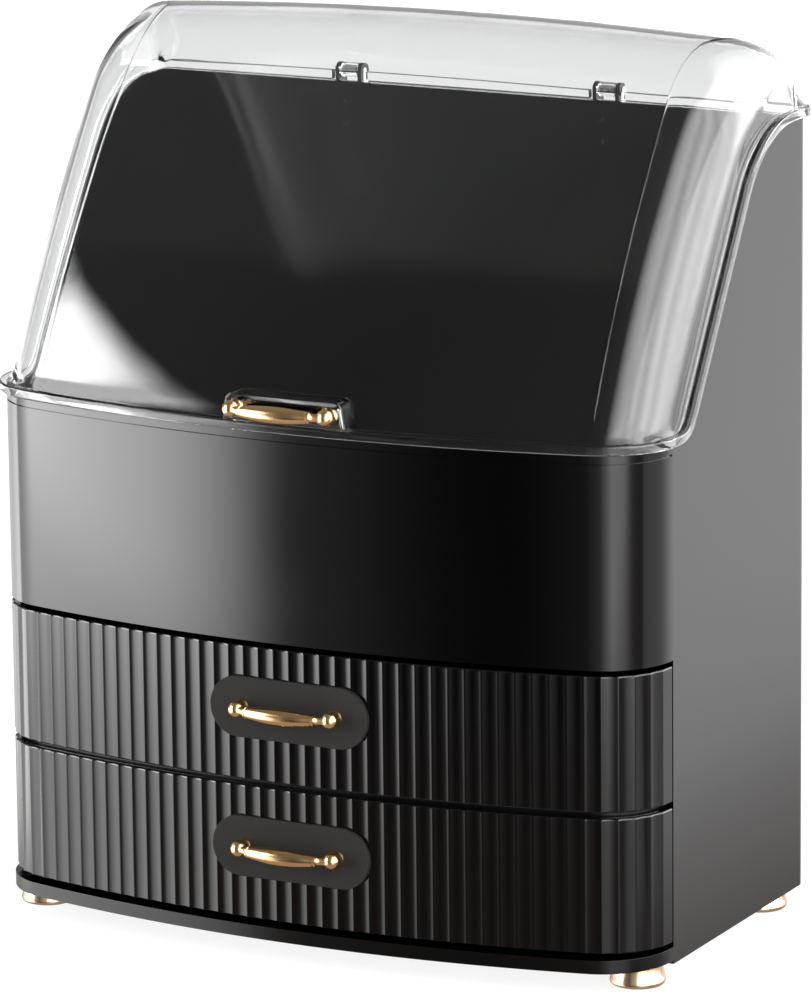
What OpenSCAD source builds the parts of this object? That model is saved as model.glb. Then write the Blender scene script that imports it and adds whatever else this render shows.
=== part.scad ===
// Counter-top organizer with a hinged clear lid over a display bay and two fluted drawers.
// The body's front is bowed in plan; the side walls rise in a curve to a tall back.

/* [Body] */
// Width over the side walls
body_w = 300; // [280:1:330]
// Length of the flat side walls, front to back
side_len = 128; // [122:1:140]
// How far the bowed front stands ahead of the side walls
bow_out = 43.5; // [41:0.5:48]
// Radius of the two upright front corners
corner_r = 30; // [28:0.5:34]
// Radius of the two upright rear corners
rear_r = 3; // [2:0.5:5]
// Thickness of the moulded body walls
wall = 3; // [2.6:0.1:3.4]
// Height of the front rim that the lid closes on
rim_z = 220.7; // [212:0.5:230]
// Height of the back wall
back_z = 333; // [325:1:345]
// Slope of the side rims between front and back
rim_slope = 57.7; // [55:0.5:62]
// Radius of the hollow curve at the foot of the slope
dip_r = 16; // [12:1:18]
// Radius of the round curve at the head of the slope
crest_r = 50; // [44:1:54]
// Where the slope would start on the rim level, behind the flat side's front end
slope_y = 12; // [10:0.5:14]
// Depth of the fine shadow groove under the front rim
groove_d = 0.6; // [0.4:0.1:1]
// Height of the shadow groove
groove_h = 0.7; // [0.5:0.1:1.2]
// Rim band left above the shadow groove
groove_drop = 3; // [2:0.5:5]

/* [Base and feet] */
// Height of the feet
foot_h = 8; // [6:0.5:12]
// Foot radius at the bottom
foot_r = 11.4; // [10:0.2:12]
// Foot radius at the top
foot_top_r = 10.2; // [9:0.2:11]
// Distance of the feet from the side walls' outer faces
foot_inset_x = 13; // [12:0.5:20]
// Distance of the front feet ahead of the side walls' front end
foot_front_y = 5.5; // [3:0.5:8]
// Distance of the rear feet from the back face
foot_rear_y = 15; // [13:0.5:25]
// Thickness of the base plate
base_t = 5.6; // [5:0.1:7]
// How far the base plate stands ahead of the body's front
base_proud = 2.5; // [1.5:0.5:4]
// Thickness of the rubber foot pads
pad_t = 1.4; // [1.2:0.1:2]
// Radius of the rubber foot pads
pad_r = 8; // [7:0.2:8.6]
// How far the pads stand below the feet
pad_proud = 0.4; // [0.3:0.1:0.6]

/* [Drawers] */
// Height of each fluted drawer front
front_h = 56.2; // [52:0.2:60]
// How far the handles sit above the middle of the drawer fronts
grip_lift = 2.6; // [0:0.1:4]
// Gap above each drawer front
front_gap = 2.2; // [1.8:0.1:3]
// Gap between the base plate and the lower drawer front
base_gap = 3.4; // [3.2:0.1:5]
// Thickness of the drawer fronts
front_t = 3; // [2.8:0.1:3.6]
// Radius of the fronts' long edges
front_edge_r = 0.9; // [0.5:0.1:1.2]
// Flute spacing along the front
flute_pitch = 7; // [6:0.1:9]
// Radius of the shallow round flutes
flute_r = 15; // [13:0.5:34]
// Width of the ridge left between two flutes
flute_land = 0.5; // [0.3:0.1:1]
// Wall and floor thickness of the drawer trays
tray_t = 2; // [1.8:0.1:2.4]
// Clear space between a tray and each body side wall
tray_gap = 2; // [1.8:0.1:2.6]
// Step from a front's bottom edge up to its tray's floor
tray_step = 1; // [0.8:0.1:1.6]
// Clear space between the trays' back and the body's back wall
tray_back_gap = 8; // [7.6:0.2:12]
// How much lower the tray walls are than the drawer fronts
tray_less = 4; // [3.8:0.1:9]
// How far a drawer slides out
travel = 100; // [80:1:100]
// Thickness of the shelf between the drawers and of the display floor
shelf_t = 3; // [2.6:0.1:3.2]
// Width of the glide strips under the trays
glide_w = 6; // [4:0.5:10]
// Running gap of sliding faces
run_gap = 0.3; // [0.2:0.05:0.4]

/* [Handles] */
// Distance between the two posts of a handle
post_gap = 42.6; // [40:0.2:44]
// Radius of the posts
post_r = 3.6; // [3.3:0.1:3.8]
// Length of the posts up to the centre of their round ends
post_len = 3.4; // [3:0.1:4]
// Distance from the mounting face to the bar's axis
bar_reach = 8.2; // [8:0.1:9]
// Radius of the bar at its thick middle
bar_mid_r = 3.65; // [3.4:0.05:3.9]
// Radius of the bar at its shoulders
bar_end_r = 2.7; // [2.4:0.1:3]
// Radius of the thin necks next to the posts
neck_r = 1.7; // [1.5:0.1:2]
// Length of the bar between its shoulders
bar_len = 31; // [28:0.5:32]
// Width of the handle plates on the drawers
plate_w = 71.7; // [66:0.5:76]
// Height of the handle plates
plate_h = 25.6; // [22:0.2:28]
// How far a handle plate stands ahead of the drawer front
plate_proud = 1; // [0.8:0.1:1.6]
// Depth that the handle plate is let into the drawer front
plate_sink = 1.6; // [1.4:0.1:1.8]
// Clearance round the handle plate in its pocket
plate_fit = 0.1; // [0.05:0.05:0.2]

/* [Lid] */
// Wall thickness of the clear lid
lid_t = 2.5; // [2.2:0.1:2.8]
// Thickness of the lid's rim flange
flange_t = 4; // [3.6:0.1:4.6]
// How far the rim flange stands out all round
flange_out = 3; // [2.6:0.1:3.4]
// Gap between the closed lid and the body's rim
seat_gap = 0.3; // [0.2:0.05:0.4]
// Slope of the lid's front at the rim
lid_lean = 63; // [62:0.5:64]
// Slope where the lid's front turns into its crown
crown_lean = 46; // [45:0.5:47]
// Radius of the lid's round back
lid_back_r = 35; // [33:0.5:37]
// Corner radius of the lid along its sides near the back
lid_rear_r = 11; // [9:0.5:14]
// Width of the upright pad that carries the lid's handle, at its foot
pad_w = 56; // [55.5:0.5:60]
// How far the sides of the handle pad lean in towards its top
pad_lean = 8; // [6:0.5:9]
// Height of the handle pad above the flange's underside
pad_h = 15; // [14.8:0.2:17]
// How far the handle pad stands ahead of the body's front
pad_out = 1.5; // [1:0.1:2.5]
// Radius of the handle pad's upper corners
pad_corner_r = 4; // [3.5:0.5:5]
// Height of the lid's handle above the flange's underside
handle_lift = 9.1; // [9:0.1:9.2]
// How far the lid swings open
lid_open = 115; // [100:1:115]

/* [Hinge] */
// Distance of each hinge from the middle
hinge_x = 60; // [50:1:90]
// Distance of the hinge axis behind the back wall
hinge_out = 4; // [3.9:0.1:4.4]
// Height of the hinge axis above the back wall
hinge_up = 4.5; // [4.4:0.1:5]
// Radius of the two bracket ears
ear_r = 3.5; // [3.3:0.1:3.7]
// Thickness of each ear
ear_t = 1.8; // [1.5:0.1:2.2]
// Distance between the middles of a bracket's two ears
ear_gap = 10.3; // [9:0.1:12]
// Radius of the hinge pins
pin_r = 1.5; // [1.4:0.05:1.6]
// Running clearance between knuckle and pin
pin_clear = 0.05; // [0.03:0.01:0.08]
// Side clearance between knuckle and ears
knuckle_clear = 0.2; // [0.15:0.05:0.3]
// Radius of the lid's knuckles
knuckle_r = 3.4; // [3.2:0.1:3.4]
// Radius of the knuckle's stop heel
heel_r = 4.5; // [4.3:0.05:4.6]
// Thickness of the bracket's plate
bracket_t = 1.8; // [1.6:0.1:1.9]
// Height of the bracket's plate
bracket_h = 22; // [20:1:26]

/* [Screws] */
// Shank radius of the screws
screw_r = 1.45; // [1.3:0.05:1.6]
// Head radius of the screws
head_r = 2.8; // [2.5:0.1:3.1]
// Head height of the screws
head_h = 1.8; // [1.5:0.1:2]
// Head radius of the handles' screws
grip_head_r = 2.2; // [2:0.1:2.3]
// Radial clearance of a screw in its hole
screw_fit = 0.05; // [0.03:0.01:0.1]
// Distance of the base screws from the ends of their side
base_screw_in = 14; // [10:1:20]

/* [Hidden] */

// facets: small rounds, corner rounds, and the wide bow
$fn = 48;
fine_fn = 96;
bow_fn = 720;
// a cut runs past the face that it opens by this much
eps = 1;
// small step that keeps two faces of one piece from lying in one plane
nudge = 0.01;

half_w = body_w / 2;
corner_x = half_w - corner_r;

// bow: one wide arc, tangent to both corner arcs
bow_r = (pow(corner_x, 2) + pow(bow_out, 2) - pow(corner_r, 2)) / (2 * (bow_out - corner_r));
bow_y = bow_r - bow_out;
bow_turn = asin(corner_x / (bow_r - corner_r));
bow_len = bow_r * bow_turn * PI / 180;

// levels, from the ground up
base_top = foot_h + base_t;
sill_t = 2.4;
lower_front_z = base_top + base_gap;
upper_front_z = lower_front_z + front_h + front_gap;
wall_z = upper_front_z + front_h + front_gap;
tray_h = front_h - tray_less;
lower_tray_z = lower_front_z + tray_step;
upper_tray_z = upper_front_z + tray_step;
shelf_top = upper_front_z - front_gap / 2 + 0.5;
ledge_t = 2;
ledge_in = 1.6;
floor_z = wall_z + ledge_t;

// drawer plan
tray_half = half_w - wall - tray_gap;
tray_back = side_len - wall - tray_back_gap;
front_end_gap = 0.5;

// stops: a bar under the deck above, and a tab on the tray's back wall
tab_h = 1.2;
tab_w = 40;
stop_clear = 0.4;
stop_w = 3;
stop_y = tray_back - tray_t - travel - run_gap - stop_w;

// fixing points
boss_x = 100;
boss_w = 8;
boss_drop = 8;
boss_d = 6;
boss_y = side_len - wall - boss_d / 2;
deck_bite = shelf_t - 0.5;

// lid
seat_z = rim_z + seat_gap;
lid_end_z = back_z + seat_gap + flange_t;
plane_half = 400;
knuckle_w = ear_gap - ear_t - 2 * knuckle_clear;
hinge_y = side_len + hinge_out;
hinge_z = back_z + hinge_up;
pin_head_r = 2.3;
pin_head_t = 0.9;
notch_half = ear_gap / 2 + ear_t / 2 + pin_head_t + 0.6;
pad_y = -bow_out - pad_out;
lid_handle_z = seat_z + handle_lift;

// middle of the part from front to back, where its origin lies
front_reach = -pad_y + bar_reach + bar_mid_r;
rear_reach = hinge_y + heel_r;
mid_y = (rear_reach - front_reach) / 2;

shell_black = [0.06, 0.06, 0.065];
plate_black = [0.16, 0.16, 0.16];
gold = [0.80, 0.60, 0.36];
clear = [0.85, 0.88, 0.90, 0.4];
steel = [0.62, 0.63, 0.65];
rubber = [0.10, 0.10, 0.10];

// ---------- curves ----------

// point reached from p, heading a, after s along a curve that turns k degrees per millimetre
function turn(p, a, k, s) = k == 0
    ? p + s * [cos(a), sin(a)]
    : p + 180 / (PI * k) * [sin(a + k * s) - sin(a), cos(a) - cos(a + k * s)];

// point at distance s along a path of [length, turn rate] stretches
function along(path, s, p, a, i = 0) = (i == len(path) - 1 || s <= path[i][0])
    ? turn(p, a, path[i][1], s)
    : along(path, s - path[i][0], turn(p, a, path[i][1], path[i][0]),
            a + path[i][1] * path[i][0], i + 1);

function path_len(path) = [for (p = path) p[0]] * [for (p = path) 1];

// an arc of radius r through a degrees; bend is 1 to the left and -1 to the right
function arc(r, a, bend) = [r * a * PI / 180, bend * 180 / (PI * r)];

// side rim, from the front end of the flat side to the back, lowered by d square to itself
slope_run = (back_z - rim_z) / tan(rim_slope);
function rim_path(d, back) =
    let (dip = dip_r + d, crest = crest_r - d, bend = tan(rim_slope / 2))
    let (flat = slope_y - dip_r * bend)
    let (slope = (back_z - rim_z) / sin(rim_slope) - (dip_r + crest_r) * bend)
    let (rear = back - slope_y - slope_run - crest_r * bend)
    [[flat, 0], arc(dip, rim_slope, 1), [slope, 0], arc(crest, rim_slope, -1), [rear, 0]];

function rim_points(d, n, back = side_len) =
    let (path = rim_path(d, back))
    [for (i = [0:n]) along(path, path_len(path) * i / n, [0, rim_z - d], 0)];

// lid profile in the middle plane: front arc, crown arc and round back, tangent to each other
close_y = side_len + bow_out - lid_back_r;
close_z = lid_end_z - seat_z + lid_back_r;
front_arc_y = sin(lid_lean) - sin(crown_lean);
front_arc_z = cos(crown_lean) - cos(lid_lean);
crown_arc_z = 1 - cos(crown_lean);
crown_r = (close_y * front_arc_z - close_z * front_arc_y)
    / (sin(crown_lean) * front_arc_z - crown_arc_z * front_arc_y);
lid_front_r = (close_z - crown_r * crown_arc_z) / front_arc_z;

function crown_points(d, n) =
    let (path = [arc(lid_front_r - d, lid_lean - crown_lean, -1), arc(crown_r - d, crown_lean, -1),
                 arc(lid_back_r - d, 90, -1)])
    let (start = [-bow_out, seat_z] + d * [sin(lid_lean), -cos(lid_lean)])
    [for (i = [0:n]) along(path, path_len(path) * i / n, start, lid_lean)];

// ---------- plan shapes ----------

// bowed plan of the body, drawn in by d; lead moves its front corners forward
module bow_plan(d, out = bow_out, lead = 0) {
    r = (pow(corner_x, 2) + pow(out - lead, 2) - pow(corner_r, 2)) / (2 * (out - lead - corner_r));
    turn = asin(corner_x / (r - corner_r));
    tip_x = corner_x + (corner_r - d) * sin(turn);
    back = side_len - d;
    rear = max(rear_r - d, 0.2);
    difference() {
        union() {
            intersection() {
                translate([0, r - out]) circle(r = r - d, $fn = bow_fn);
                translate([-tip_x, -out - eps]) square([2 * tip_x, out + 2 * eps]);
            }
            for (s = [-1, 1]) {
                translate([s * corner_x, -lead]) circle(r = corner_r - d, $fn = fine_fn);
                translate([s * (half_w - d - rear), back - rear]) circle(r = rear, $fn = fine_fn);
            }
            translate([d - half_w, -lead]) square([body_w - 2 * d, back - rear + lead]);
            translate([d + rear - half_w, 0]) square([body_w - 2 * (d + rear), back]);
        }
    }
}

// everything ahead of y, and everything behind it
module ahead(y) {
    translate([-plane_half, y - plane_half]) square([2 * plane_half, plane_half]);
}

module behind(y) {
    translate([-plane_half, y]) square([2 * plane_half, plane_half]);
}

// side view of the body up to its rim, lowered by d, and cut off under level z
module rim_side(d, z) {
    polygon(concat(
        [[-plane_half, z], [-plane_half, rim_z - d]], rim_points(d, 64),
        [[plane_half, back_z - d], [plane_half, z]]));
}

// turns a drawing of [y, z] into a solid that is w wide and centred on x = 0
module across(w) {
    translate([-w / 2, 0, 0]) rotate([90, 0, 90]) linear_extrude(w) children();
}

// turns a drawing of [x, z] into a solid that runs back from y
module back_from(y, depth) {
    translate([0, y + depth, 0]) rotate([90, 0, 0]) linear_extrude(depth) children();
}

module placed() {
    translate([0, -mid_y, 0]) children();
}

// ---------- fixings ----------

// screw with its head's top at the origin and its shank along +Z
module screw(shank, r = head_r) {
    cylinder(r = r, h = head_h);
    translate([0, 0, head_h]) cylinder(r = screw_r, h = shank);
}

module screw_hole(depth) {
    translate([0, 0, -eps]) cylinder(r = screw_r + screw_fit, h = depth + eps);
}

base_screw_x = half_w - wall - base_screw_in / 2 + 1;
base_screw_points = [
    for (s = [-1, 1]) for (y = [base_screw_in + 8, side_len / 2 - 4]) [s * base_screw_x, y],
    for (s = [-1, 1]) [s * boss_x / 2, side_len - wall - 5]
];

deck_screw_points = [for (x = [-boss_x, 0, boss_x]) [x, boss_y]];

foot_points = [
    for (y = [-foot_front_y, side_len - foot_rear_y]) for (s = [-1, 1])
        [s * (half_w - foot_inset_x), y]
];

hinge_screw_z = [for (k = [0.22, 0.62]) back_z - bracket_h + bracket_h * k];

// ---------- body ----------

// inward sill along the foot of the side and back walls, where the base plate is screwed on
module sill() {
    translate([0, 0, base_top]) linear_extrude(sill_t) intersection() {
        difference() {
            bow_plan(nudge);
            bow_plan(wall + base_screw_in - 4);
        }
        behind(1.5);
    }
}

// ledge that a deck rests on, with blocks at the back for its screws
module ledge(top, reach) {
    translate([0, 0, top - ledge_t]) linear_extrude(ledge_t) difference() {
        bow_plan(nudge);
        bow_plan(wall + reach);
    }
    for (p = deck_screw_points)
        translate([p[0] - boss_w / 2, p[1] - boss_d / 2, top - boss_drop])
            cube([boss_w, boss_d + nudge, boss_drop]);
}

module body_shell() color(shell_black) placed() difference() {
    union() {
        intersection() {
            difference() {
                linear_extrude(back_z) bow_plan(0);
                translate([0, 0, -eps]) linear_extrude(back_z + 2 * eps) bow_plan(wall);
            }
            across(2 * plane_half) rim_side(0, foot_h);
        }
        sill();
        ledge(shelf_top - shelf_t, ledge_in);
        ledge(floor_z, ledge_in);
    }
    // mouth of the two drawers
    linear_extrude(wall_z) ahead(front_end_gap);
    // room for the base plate between the walls
    linear_extrude(base_top) bow_plan(wall);
    // shadow groove under the front rim
    translate([0, 0, rim_z - groove_drop - groove_h]) linear_extrude(groove_h) intersection() {
        difference() {
            bow_plan(-eps);
            bow_plan(groove_d);
        }
        ahead(0);
    }
    for (p = base_screw_points) translate([p[0], p[1], base_top]) screw_hole(sill_t + eps);
    for (p = deck_screw_points) for (z = [shelf_top - shelf_t, floor_z])
        translate([p[0], p[1], z - boss_drop - eps]) screw_hole(boss_drop + 2 * eps);
    for (s = [-1, 1]) for (z = hinge_screw_z)
        translate([s * hinge_x, side_len + eps, z]) rotate([90, 0, 0]) screw_hole(wall + 2 * eps);
}

// a deck with its stop bar underneath, resting on the ledge
module deck(top, front_inset, bar_bottom) difference() {
    union() {
        translate([0, 0, top - shelf_t]) linear_extrude(shelf_t) intersection() {
            bow_plan(wall);
            union() {
                bow_plan(front_inset);
                behind(front_end_gap + eps);
            }
        }
        translate([-tab_w, stop_y, bar_bottom]) cube([2 * tab_w, stop_w, top - nudge - bar_bottom]);
    }
    for (p = deck_screw_points) translate([p[0], p[1], top - shelf_t]) screw_hole(deck_bite + 0.1);
}

module display_floor() color(shell_black) placed()
    deck(floor_z + shelf_t, wall, upper_tray_z + tray_h + stop_clear);

module drawer_shelf() color(shell_black) placed() {
    deck(shelf_top, front_t + 1.5, lower_tray_z + tray_h + stop_clear);
    glides(shelf_top - nudge, upper_tray_z - run_gap);
}

// two strips that a tray slides on
module glides(bottom, top) {
    for (s = [-1, 1])
        translate([s * boss_x - glide_w / 2, 4, bottom])
            cube([glide_w, tray_back - 6, top - bottom]);
}

module base_plate() color(shell_black) placed() difference() {
    union() {
        translate([0, 0, foot_h]) linear_extrude(base_t) union() {
            bow_plan(wall);
            intersection() {
                bow_plan(0, bow_out + base_proud, base_proud * 2);
                ahead(front_end_gap);
            }
        }
        glides(base_top - nudge, lower_tray_z - run_gap);
    }
    for (p = base_screw_points) {
        translate([p[0], p[1], foot_h]) screw_hole(base_t + eps);
        translate([p[0], p[1], foot_h - eps]) cylinder(r = head_r + 0.2, h = head_h + eps);
    }
    for (p = foot_points) translate([p[0], p[1], foot_h]) screw_hole(base_t - 0.6);
}

module base_screws() color(steel) placed()
    for (p = base_screw_points) translate([p[0], p[1], foot_h]) screw(base_t - head_h + sill_t);

// screws from below through the ledge blocks into a deck
module deck_screws(underside) {
    for (p = deck_screw_points)
        translate([p[0], p[1], underside - boss_drop - head_h]) screw(boss_drop + deck_bite);
}

module shelf_screws() color(steel) placed() deck_screws(shelf_top - shelf_t);

module floor_screws() color(steel) placed() deck_screws(floor_z);

// ---------- feet ----------

foot_round = 1.4;
foot_deep = pad_t - pad_proud;
foot_seat_z = 4;

module foot(p) color(gold) placed() translate([p[0], p[1], 0]) difference() {
    rotate_extrude($fn = fine_fn) intersection() {
        union() {
            polygon([[0, pad_proud], [foot_r - foot_round, pad_proud], [foot_r, pad_proud + foot_round],
                     [foot_top_r, foot_h], [0, foot_h]]);
            translate([foot_r - foot_round, pad_proud + foot_round]) circle(r = foot_round);
        }
        square([2 * foot_r, foot_h]);
    }
    translate([0, 0, -eps]) cylinder(r = pad_r + 0.2, h = pad_t + eps, $fn = fine_fn);
    cylinder(r = head_r + 0.4, h = foot_seat_z);
    translate([0, 0, foot_seat_z]) screw_hole(foot_h);
}

module front_left_foot() foot(foot_points[0]);
module front_right_foot() foot(foot_points[1]);
module rear_left_foot() foot(foot_points[2]);
module rear_right_foot() foot(foot_points[3]);

module foot_pads() color(rubber) placed()
    for (p = foot_points) translate([p[0], p[1], 0]) cylinder(r = pad_r, h = pad_t, $fn = fine_fn);

module foot_screws() color(steel) placed()
    for (p = foot_points) translate([p[0], p[1], foot_seat_z - head_h])
        screw(foot_h - foot_seat_z + base_t - 1);

// ---------- hinge ----------

module hinge_bracket(side) color(shell_black) placed() difference() {
    union() {
        translate([side * hinge_x - ear_gap / 2 - ear_t / 2, side_len, back_z - bracket_h])
            cube([ear_gap + ear_t, bracket_t, bracket_h]);
        for (s = [-1, 1]) translate([side * hinge_x + s * ear_gap / 2, 0, 0]) across(ear_t) {
            translate([hinge_y, hinge_z]) circle(r = ear_r);
            polygon([[side_len, back_z - bracket_h], [side_len + bracket_t, back_z - bracket_h],
                     [hinge_y + ear_r, hinge_z - ear_r * 2], [hinge_y + ear_r, hinge_z],
                     [hinge_y - ear_r, hinge_z], [hinge_y - ear_r, back_z], [side_len, back_z]]);
        }
    }
    hinge_axis_hole(side, pin_r + screw_fit, ear_gap + 2 * ear_t);
    for (z = hinge_screw_z) translate([side * hinge_x, side_len + bracket_t, z])
        rotate([90, 0, 0]) screw_hole(bracket_t + eps);
}

module hinge_axis_hole(side, r, w) {
    translate([side * hinge_x - w / 2, hinge_y, hinge_z]) rotate([0, 90, 0]) cylinder(r = r, h = w);
}

module left_hinge_bracket() hinge_bracket(-1);
module right_hinge_bracket() hinge_bracket(1);

// pins pushed in from the outer side of each bracket
module hinge_pins() color(steel) placed() for (side = [-1, 1]) {
    hinge_axis_hole(side, pin_r, ear_gap + ear_t);
    translate([side * (hinge_x + ear_gap / 2 + ear_t / 2), hinge_y, hinge_z])
        rotate([0, side * 90, 0]) cylinder(r = pin_head_r, h = pin_head_t);
}

module hinge_screws() color(steel) placed() for (s = [-1, 1]) for (z = hinge_screw_z)
    translate([s * hinge_x, side_len + bracket_t + head_h, z]) rotate([90, 0, 0])
        screw(bracket_t + wall);

// ---------- lid ----------

// one arched section of the lid: [x, height] points from the right rim over to the left rim
function arch(h, w, r, bow) =
    let (c = w - r, b = max(bow, c * c / (0.6 * h)), t = asin(c / (b - r)))
    let (cy = h - b + (b - r) * cos(t))
    let (corner = [for (i = [0:arch_corner]) let (a = (90 - t) * i / arch_corner) r * [cos(a), sin(a)]])
    concat(
        [[w, 0]],
        [for (p = corner) [c + p[0], cy + p[1]]],
        [for (i = [1:arch_top - 1]) let (a = t - 2 * t * i / arch_top) [b * sin(a), h - b + b * cos(a)]],
        [for (i = [arch_corner:-1:0]) [-c - corner[i][0], cy + corner[i][1]]],
        [[-w, 0]]);

arch_corner = 7;
arch_top = 10;
lid_steps = 26;
function smooth(t) = let (u = min(max(t, 0), 1)) u * u * (3 - 2 * u);

// corner radius and bow of the section a share v of the way from front rim to back
function section_r(v, h) = min(corner_r + (lid_rear_r - corner_r) * smooth((v - 0.72) / 0.2), 0.68 * h);
function section_bow(v) = 1 / ((1 - v) / bow_r + v / (10 * bow_r));

// solid between the side rims and the crown, drawn in by d and reaching drop below the rim
module dome(d, drop) {
    rim = rim_points(drop - seat_gap, lid_steps, side_len - d);
    crown = crown_points(d, lid_steps);
    rows = [for (i = [0:lid_steps])
        let (v = i / lid_steps, s = rim[i], q = crown[i] - s, h = norm(q), u = q / h)
        let (r = max(section_r(v, h + d) - d, 0.5), section = arch(h, half_w - d, r, section_bow(v) - d))
        [for (p = section) [p[0], s[0] + u[0] * p[1], s[1] + u[1] * p[1]]]];
    m = len(rows[0]);
    polyhedron(
        points = [for (row = rows) for (p = row) p],
        faces = concat(
            [[for (j = [m - 1:-1:0]) j]],
            [for (i = [0:lid_steps - 1]) for (j = [0:m - 1]) for (k = [0, 1])
                let (a = i * m + j, b = i * m + (j + 1) % m)
                k == 0 ? [a, b, b + m] : [a, b + m, a + m]],
            [[for (j = [0:m - 1]) lid_steps * m + j]]));
}

// band of thickness flange_t that follows the rim, seen from the side
module flange_side() {
    lower = rim_points(-seat_gap, 64);
    upper = rim_points(-seat_gap - flange_t, 64);
    polygon(concat(
        [[-plane_half, seat_z]], lower, [[plane_half, back_z + seat_gap]],
        [[plane_half, lid_end_z]], [for (i = [len(upper) - 1:-1:0]) upper[i]],
        [[-plane_half, seat_z + flange_t]]));
}

module flange() intersection() {
    difference() {
        linear_extrude(back_z + 2 * flange_t) bow_plan(-flange_out);
        linear_extrude(back_z + 2 * flange_t) bow_plan(lid_t);
    }
    across(2 * plane_half) flange_side();
}

// front view of the handle pad, drawn in by d
module pad_front(d) {
    r = pad_corner_r - d;
    h = pad_h - d;
    foot = pad_w / 2 - d / cos(pad_lean);
    x = foot - (h - r) * tan(pad_lean) - r / cos(pad_lean);
    tip = [x + r * cos(pad_lean), h - r + r * sin(pad_lean)];
    translate([0, seat_z]) {
        polygon([[-foot, nudge], [foot, nudge], tip, [x, h], [-x, h], [-tip[0], tip[1]]]);
        for (s = [-1, 1]) translate([s * x, h - r]) circle(r = r);
    }
}

pad_depth = 26;

module knuckle(side) translate([side * hinge_x, 0, 0]) {
    across(knuckle_w) {
        translate([hinge_y, hinge_z]) circle(r = knuckle_r);
        translate([side_len - lid_t / 2, hinge_z - 1.6]) square([hinge_out + lid_t / 2, 3.6]);
        intersection() {
            translate([hinge_y, hinge_z]) circle(r = heel_r);
            translate([hinge_y, hinge_z]) polygon([[0, 0], [2 * heel_r, 0], [2 * heel_r, heel_r]]);
        }
    }
}

module lid_cover() color(clear) placed() difference() {
    union() {
        difference() {
            union() {
                dome(0, 0);
                flange();
                back_from(pad_y, pad_depth) pad_front(0);
            }
            dome(lid_t, 2);
            difference() {
                back_from(pad_y + lid_t, pad_depth) pad_front(lid_t);
                linear_extrude(seat_z + flange_t) ahead(0);
            }
            // notches that let the bracket ears through the rear flange
            for (s = [-1, 1]) translate([s * hinge_x - notch_half, side_len + nudge, back_z - eps])
                cube([2 * notch_half, flange_out + eps, flange_t + 2 * eps]);
        }
        for (s = [-1, 1]) knuckle(s);
    }
    for (s = [-1, 1]) {
        hinge_axis_hole(s, pin_r + pin_clear, ear_gap);
        translate([s * post_gap / 2, pad_y + lid_t + eps, lid_handle_z])
            rotate([90, 0, 0]) screw_hole(lid_t + 2 * eps);
    }
}

module lid_handle() color(gold) placed() handle(pad_y, lid_handle_z);

module lid_handle_screws() color(steel) placed() handle_screws(pad_y, lid_handle_z, lid_t);

// ---------- handles ----------

post_hole = 4;

// turned bar on two round-ended posts, on a face at y
module handle(y, z) difference() {
    translate([0, y, z]) {
        for (s = [-1, 1]) {
            translate([s * post_gap / 2, 0, 0]) rotate([90, 0, 0]) post();
            rod([s * (bar_len / 2 - neck_in), bar_reach + neck_rise], [s * post_gap / 2, post_len], neck_r);
        }
        translate([0, -bar_reach, 0]) rotate([0, 90, 0]) rotate_extrude($fn = fine_fn) bar_half();
    }
    for (s = [-1, 1]) translate([s * post_gap / 2, y + eps, z]) rotate([90, 0, 0])
        cylinder(r = screw_r + screw_fit, h = post_hole + eps);
}

// where a neck starts inside the bar, so that it leaves through the bar's end face
neck_in = 2;
neck_rise = 1.1;

module post() rotate_extrude($fn = fine_fn) intersection() {
    union() {
        square([post_r, post_len]);
        translate([0, post_len]) circle(r = post_r, $fn = fine_fn);
    }
    square([2 * post_r, post_len + 2 * post_r]);
}

// half section of the bar along its axis
module bar_half() {
    l = bar_len / 2;
    polygon(concat(
        [[0, -l]],
        [for (i = [-4:4]) let (t = i / 4) [bar_end_r + (bar_mid_r - bar_end_r) * (1 - t * t), t * l]],
        [[0, l]]));
}

// round rod between two points, each given as [x, distance ahead of the face]
module rod(p, q, r) {
    run = q - p;
    translate([p[0], -p[1], 0]) rotate([0, 0, atan2(-run[1], run[0])]) rotate([0, 90, 0])
        cylinder(r = r, h = norm(run), $fn = fine_fn);
}

// screws from behind a wall of thickness t into the posts
module handle_screws(y, z, t) for (s = [-1, 1])
    translate([s * post_gap / 2, y + t + head_h, z]) rotate([90, 0, 0])
        screw(t + post_hole - 0.5, grip_head_r);

// ---------- drawers ----------

// place and direction on the front at arc length s from the middle: [x, y, angle, surface radius]
function front_at(s) = abs(s) <= bow_len
    ? let (a = s / bow_r * 180 / PI) [0, bow_y, a, bow_r]
    : let (a = sign(s) * (bow_turn + (abs(s) - bow_len) / corner_r * 180 / PI))
      [sign(s) * corner_x, 0, a, corner_r];

front_len = bow_len + corner_r * (90 - bow_turn) * PI / 180;
flute_count = floor(front_len / flute_pitch - 0.3);

// round cutters that leave sharp ridges along the front
module flute_cuts() {
    half = (flute_pitch - flute_land) / 2;
    for (s = [-1, 1]) for (i = [0:flute_count - 1]) {
        p = front_at(s * (i + 0.5) * flute_pitch);
        depth = half * half / 2 * (1 / flute_r + 1 / p[3]);
        reach = p[3] + flute_r - depth;
        translate([p[0] + reach * sin(p[2]), p[1] - reach * cos(p[2])]) circle(r = flute_r, $fn = 360);
    }
}

module front_ring(d) {
    intersection() {
        difference() {
            bow_plan(d);
            bow_plan(front_t);
        }
        ahead(-front_end_gap);
    }
}

// stadium of the handle plate, grown by d
module plate_shape(d) {
    h = plate_h / 2 + d;
    l = plate_w / 2 - plate_h / 2;
    for (s = [-1, 1]) translate([s * l, 0]) circle(r = h, $fn = fine_fn);
    translate([-l, -h]) square([2 * l, 2 * h]);
}

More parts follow.
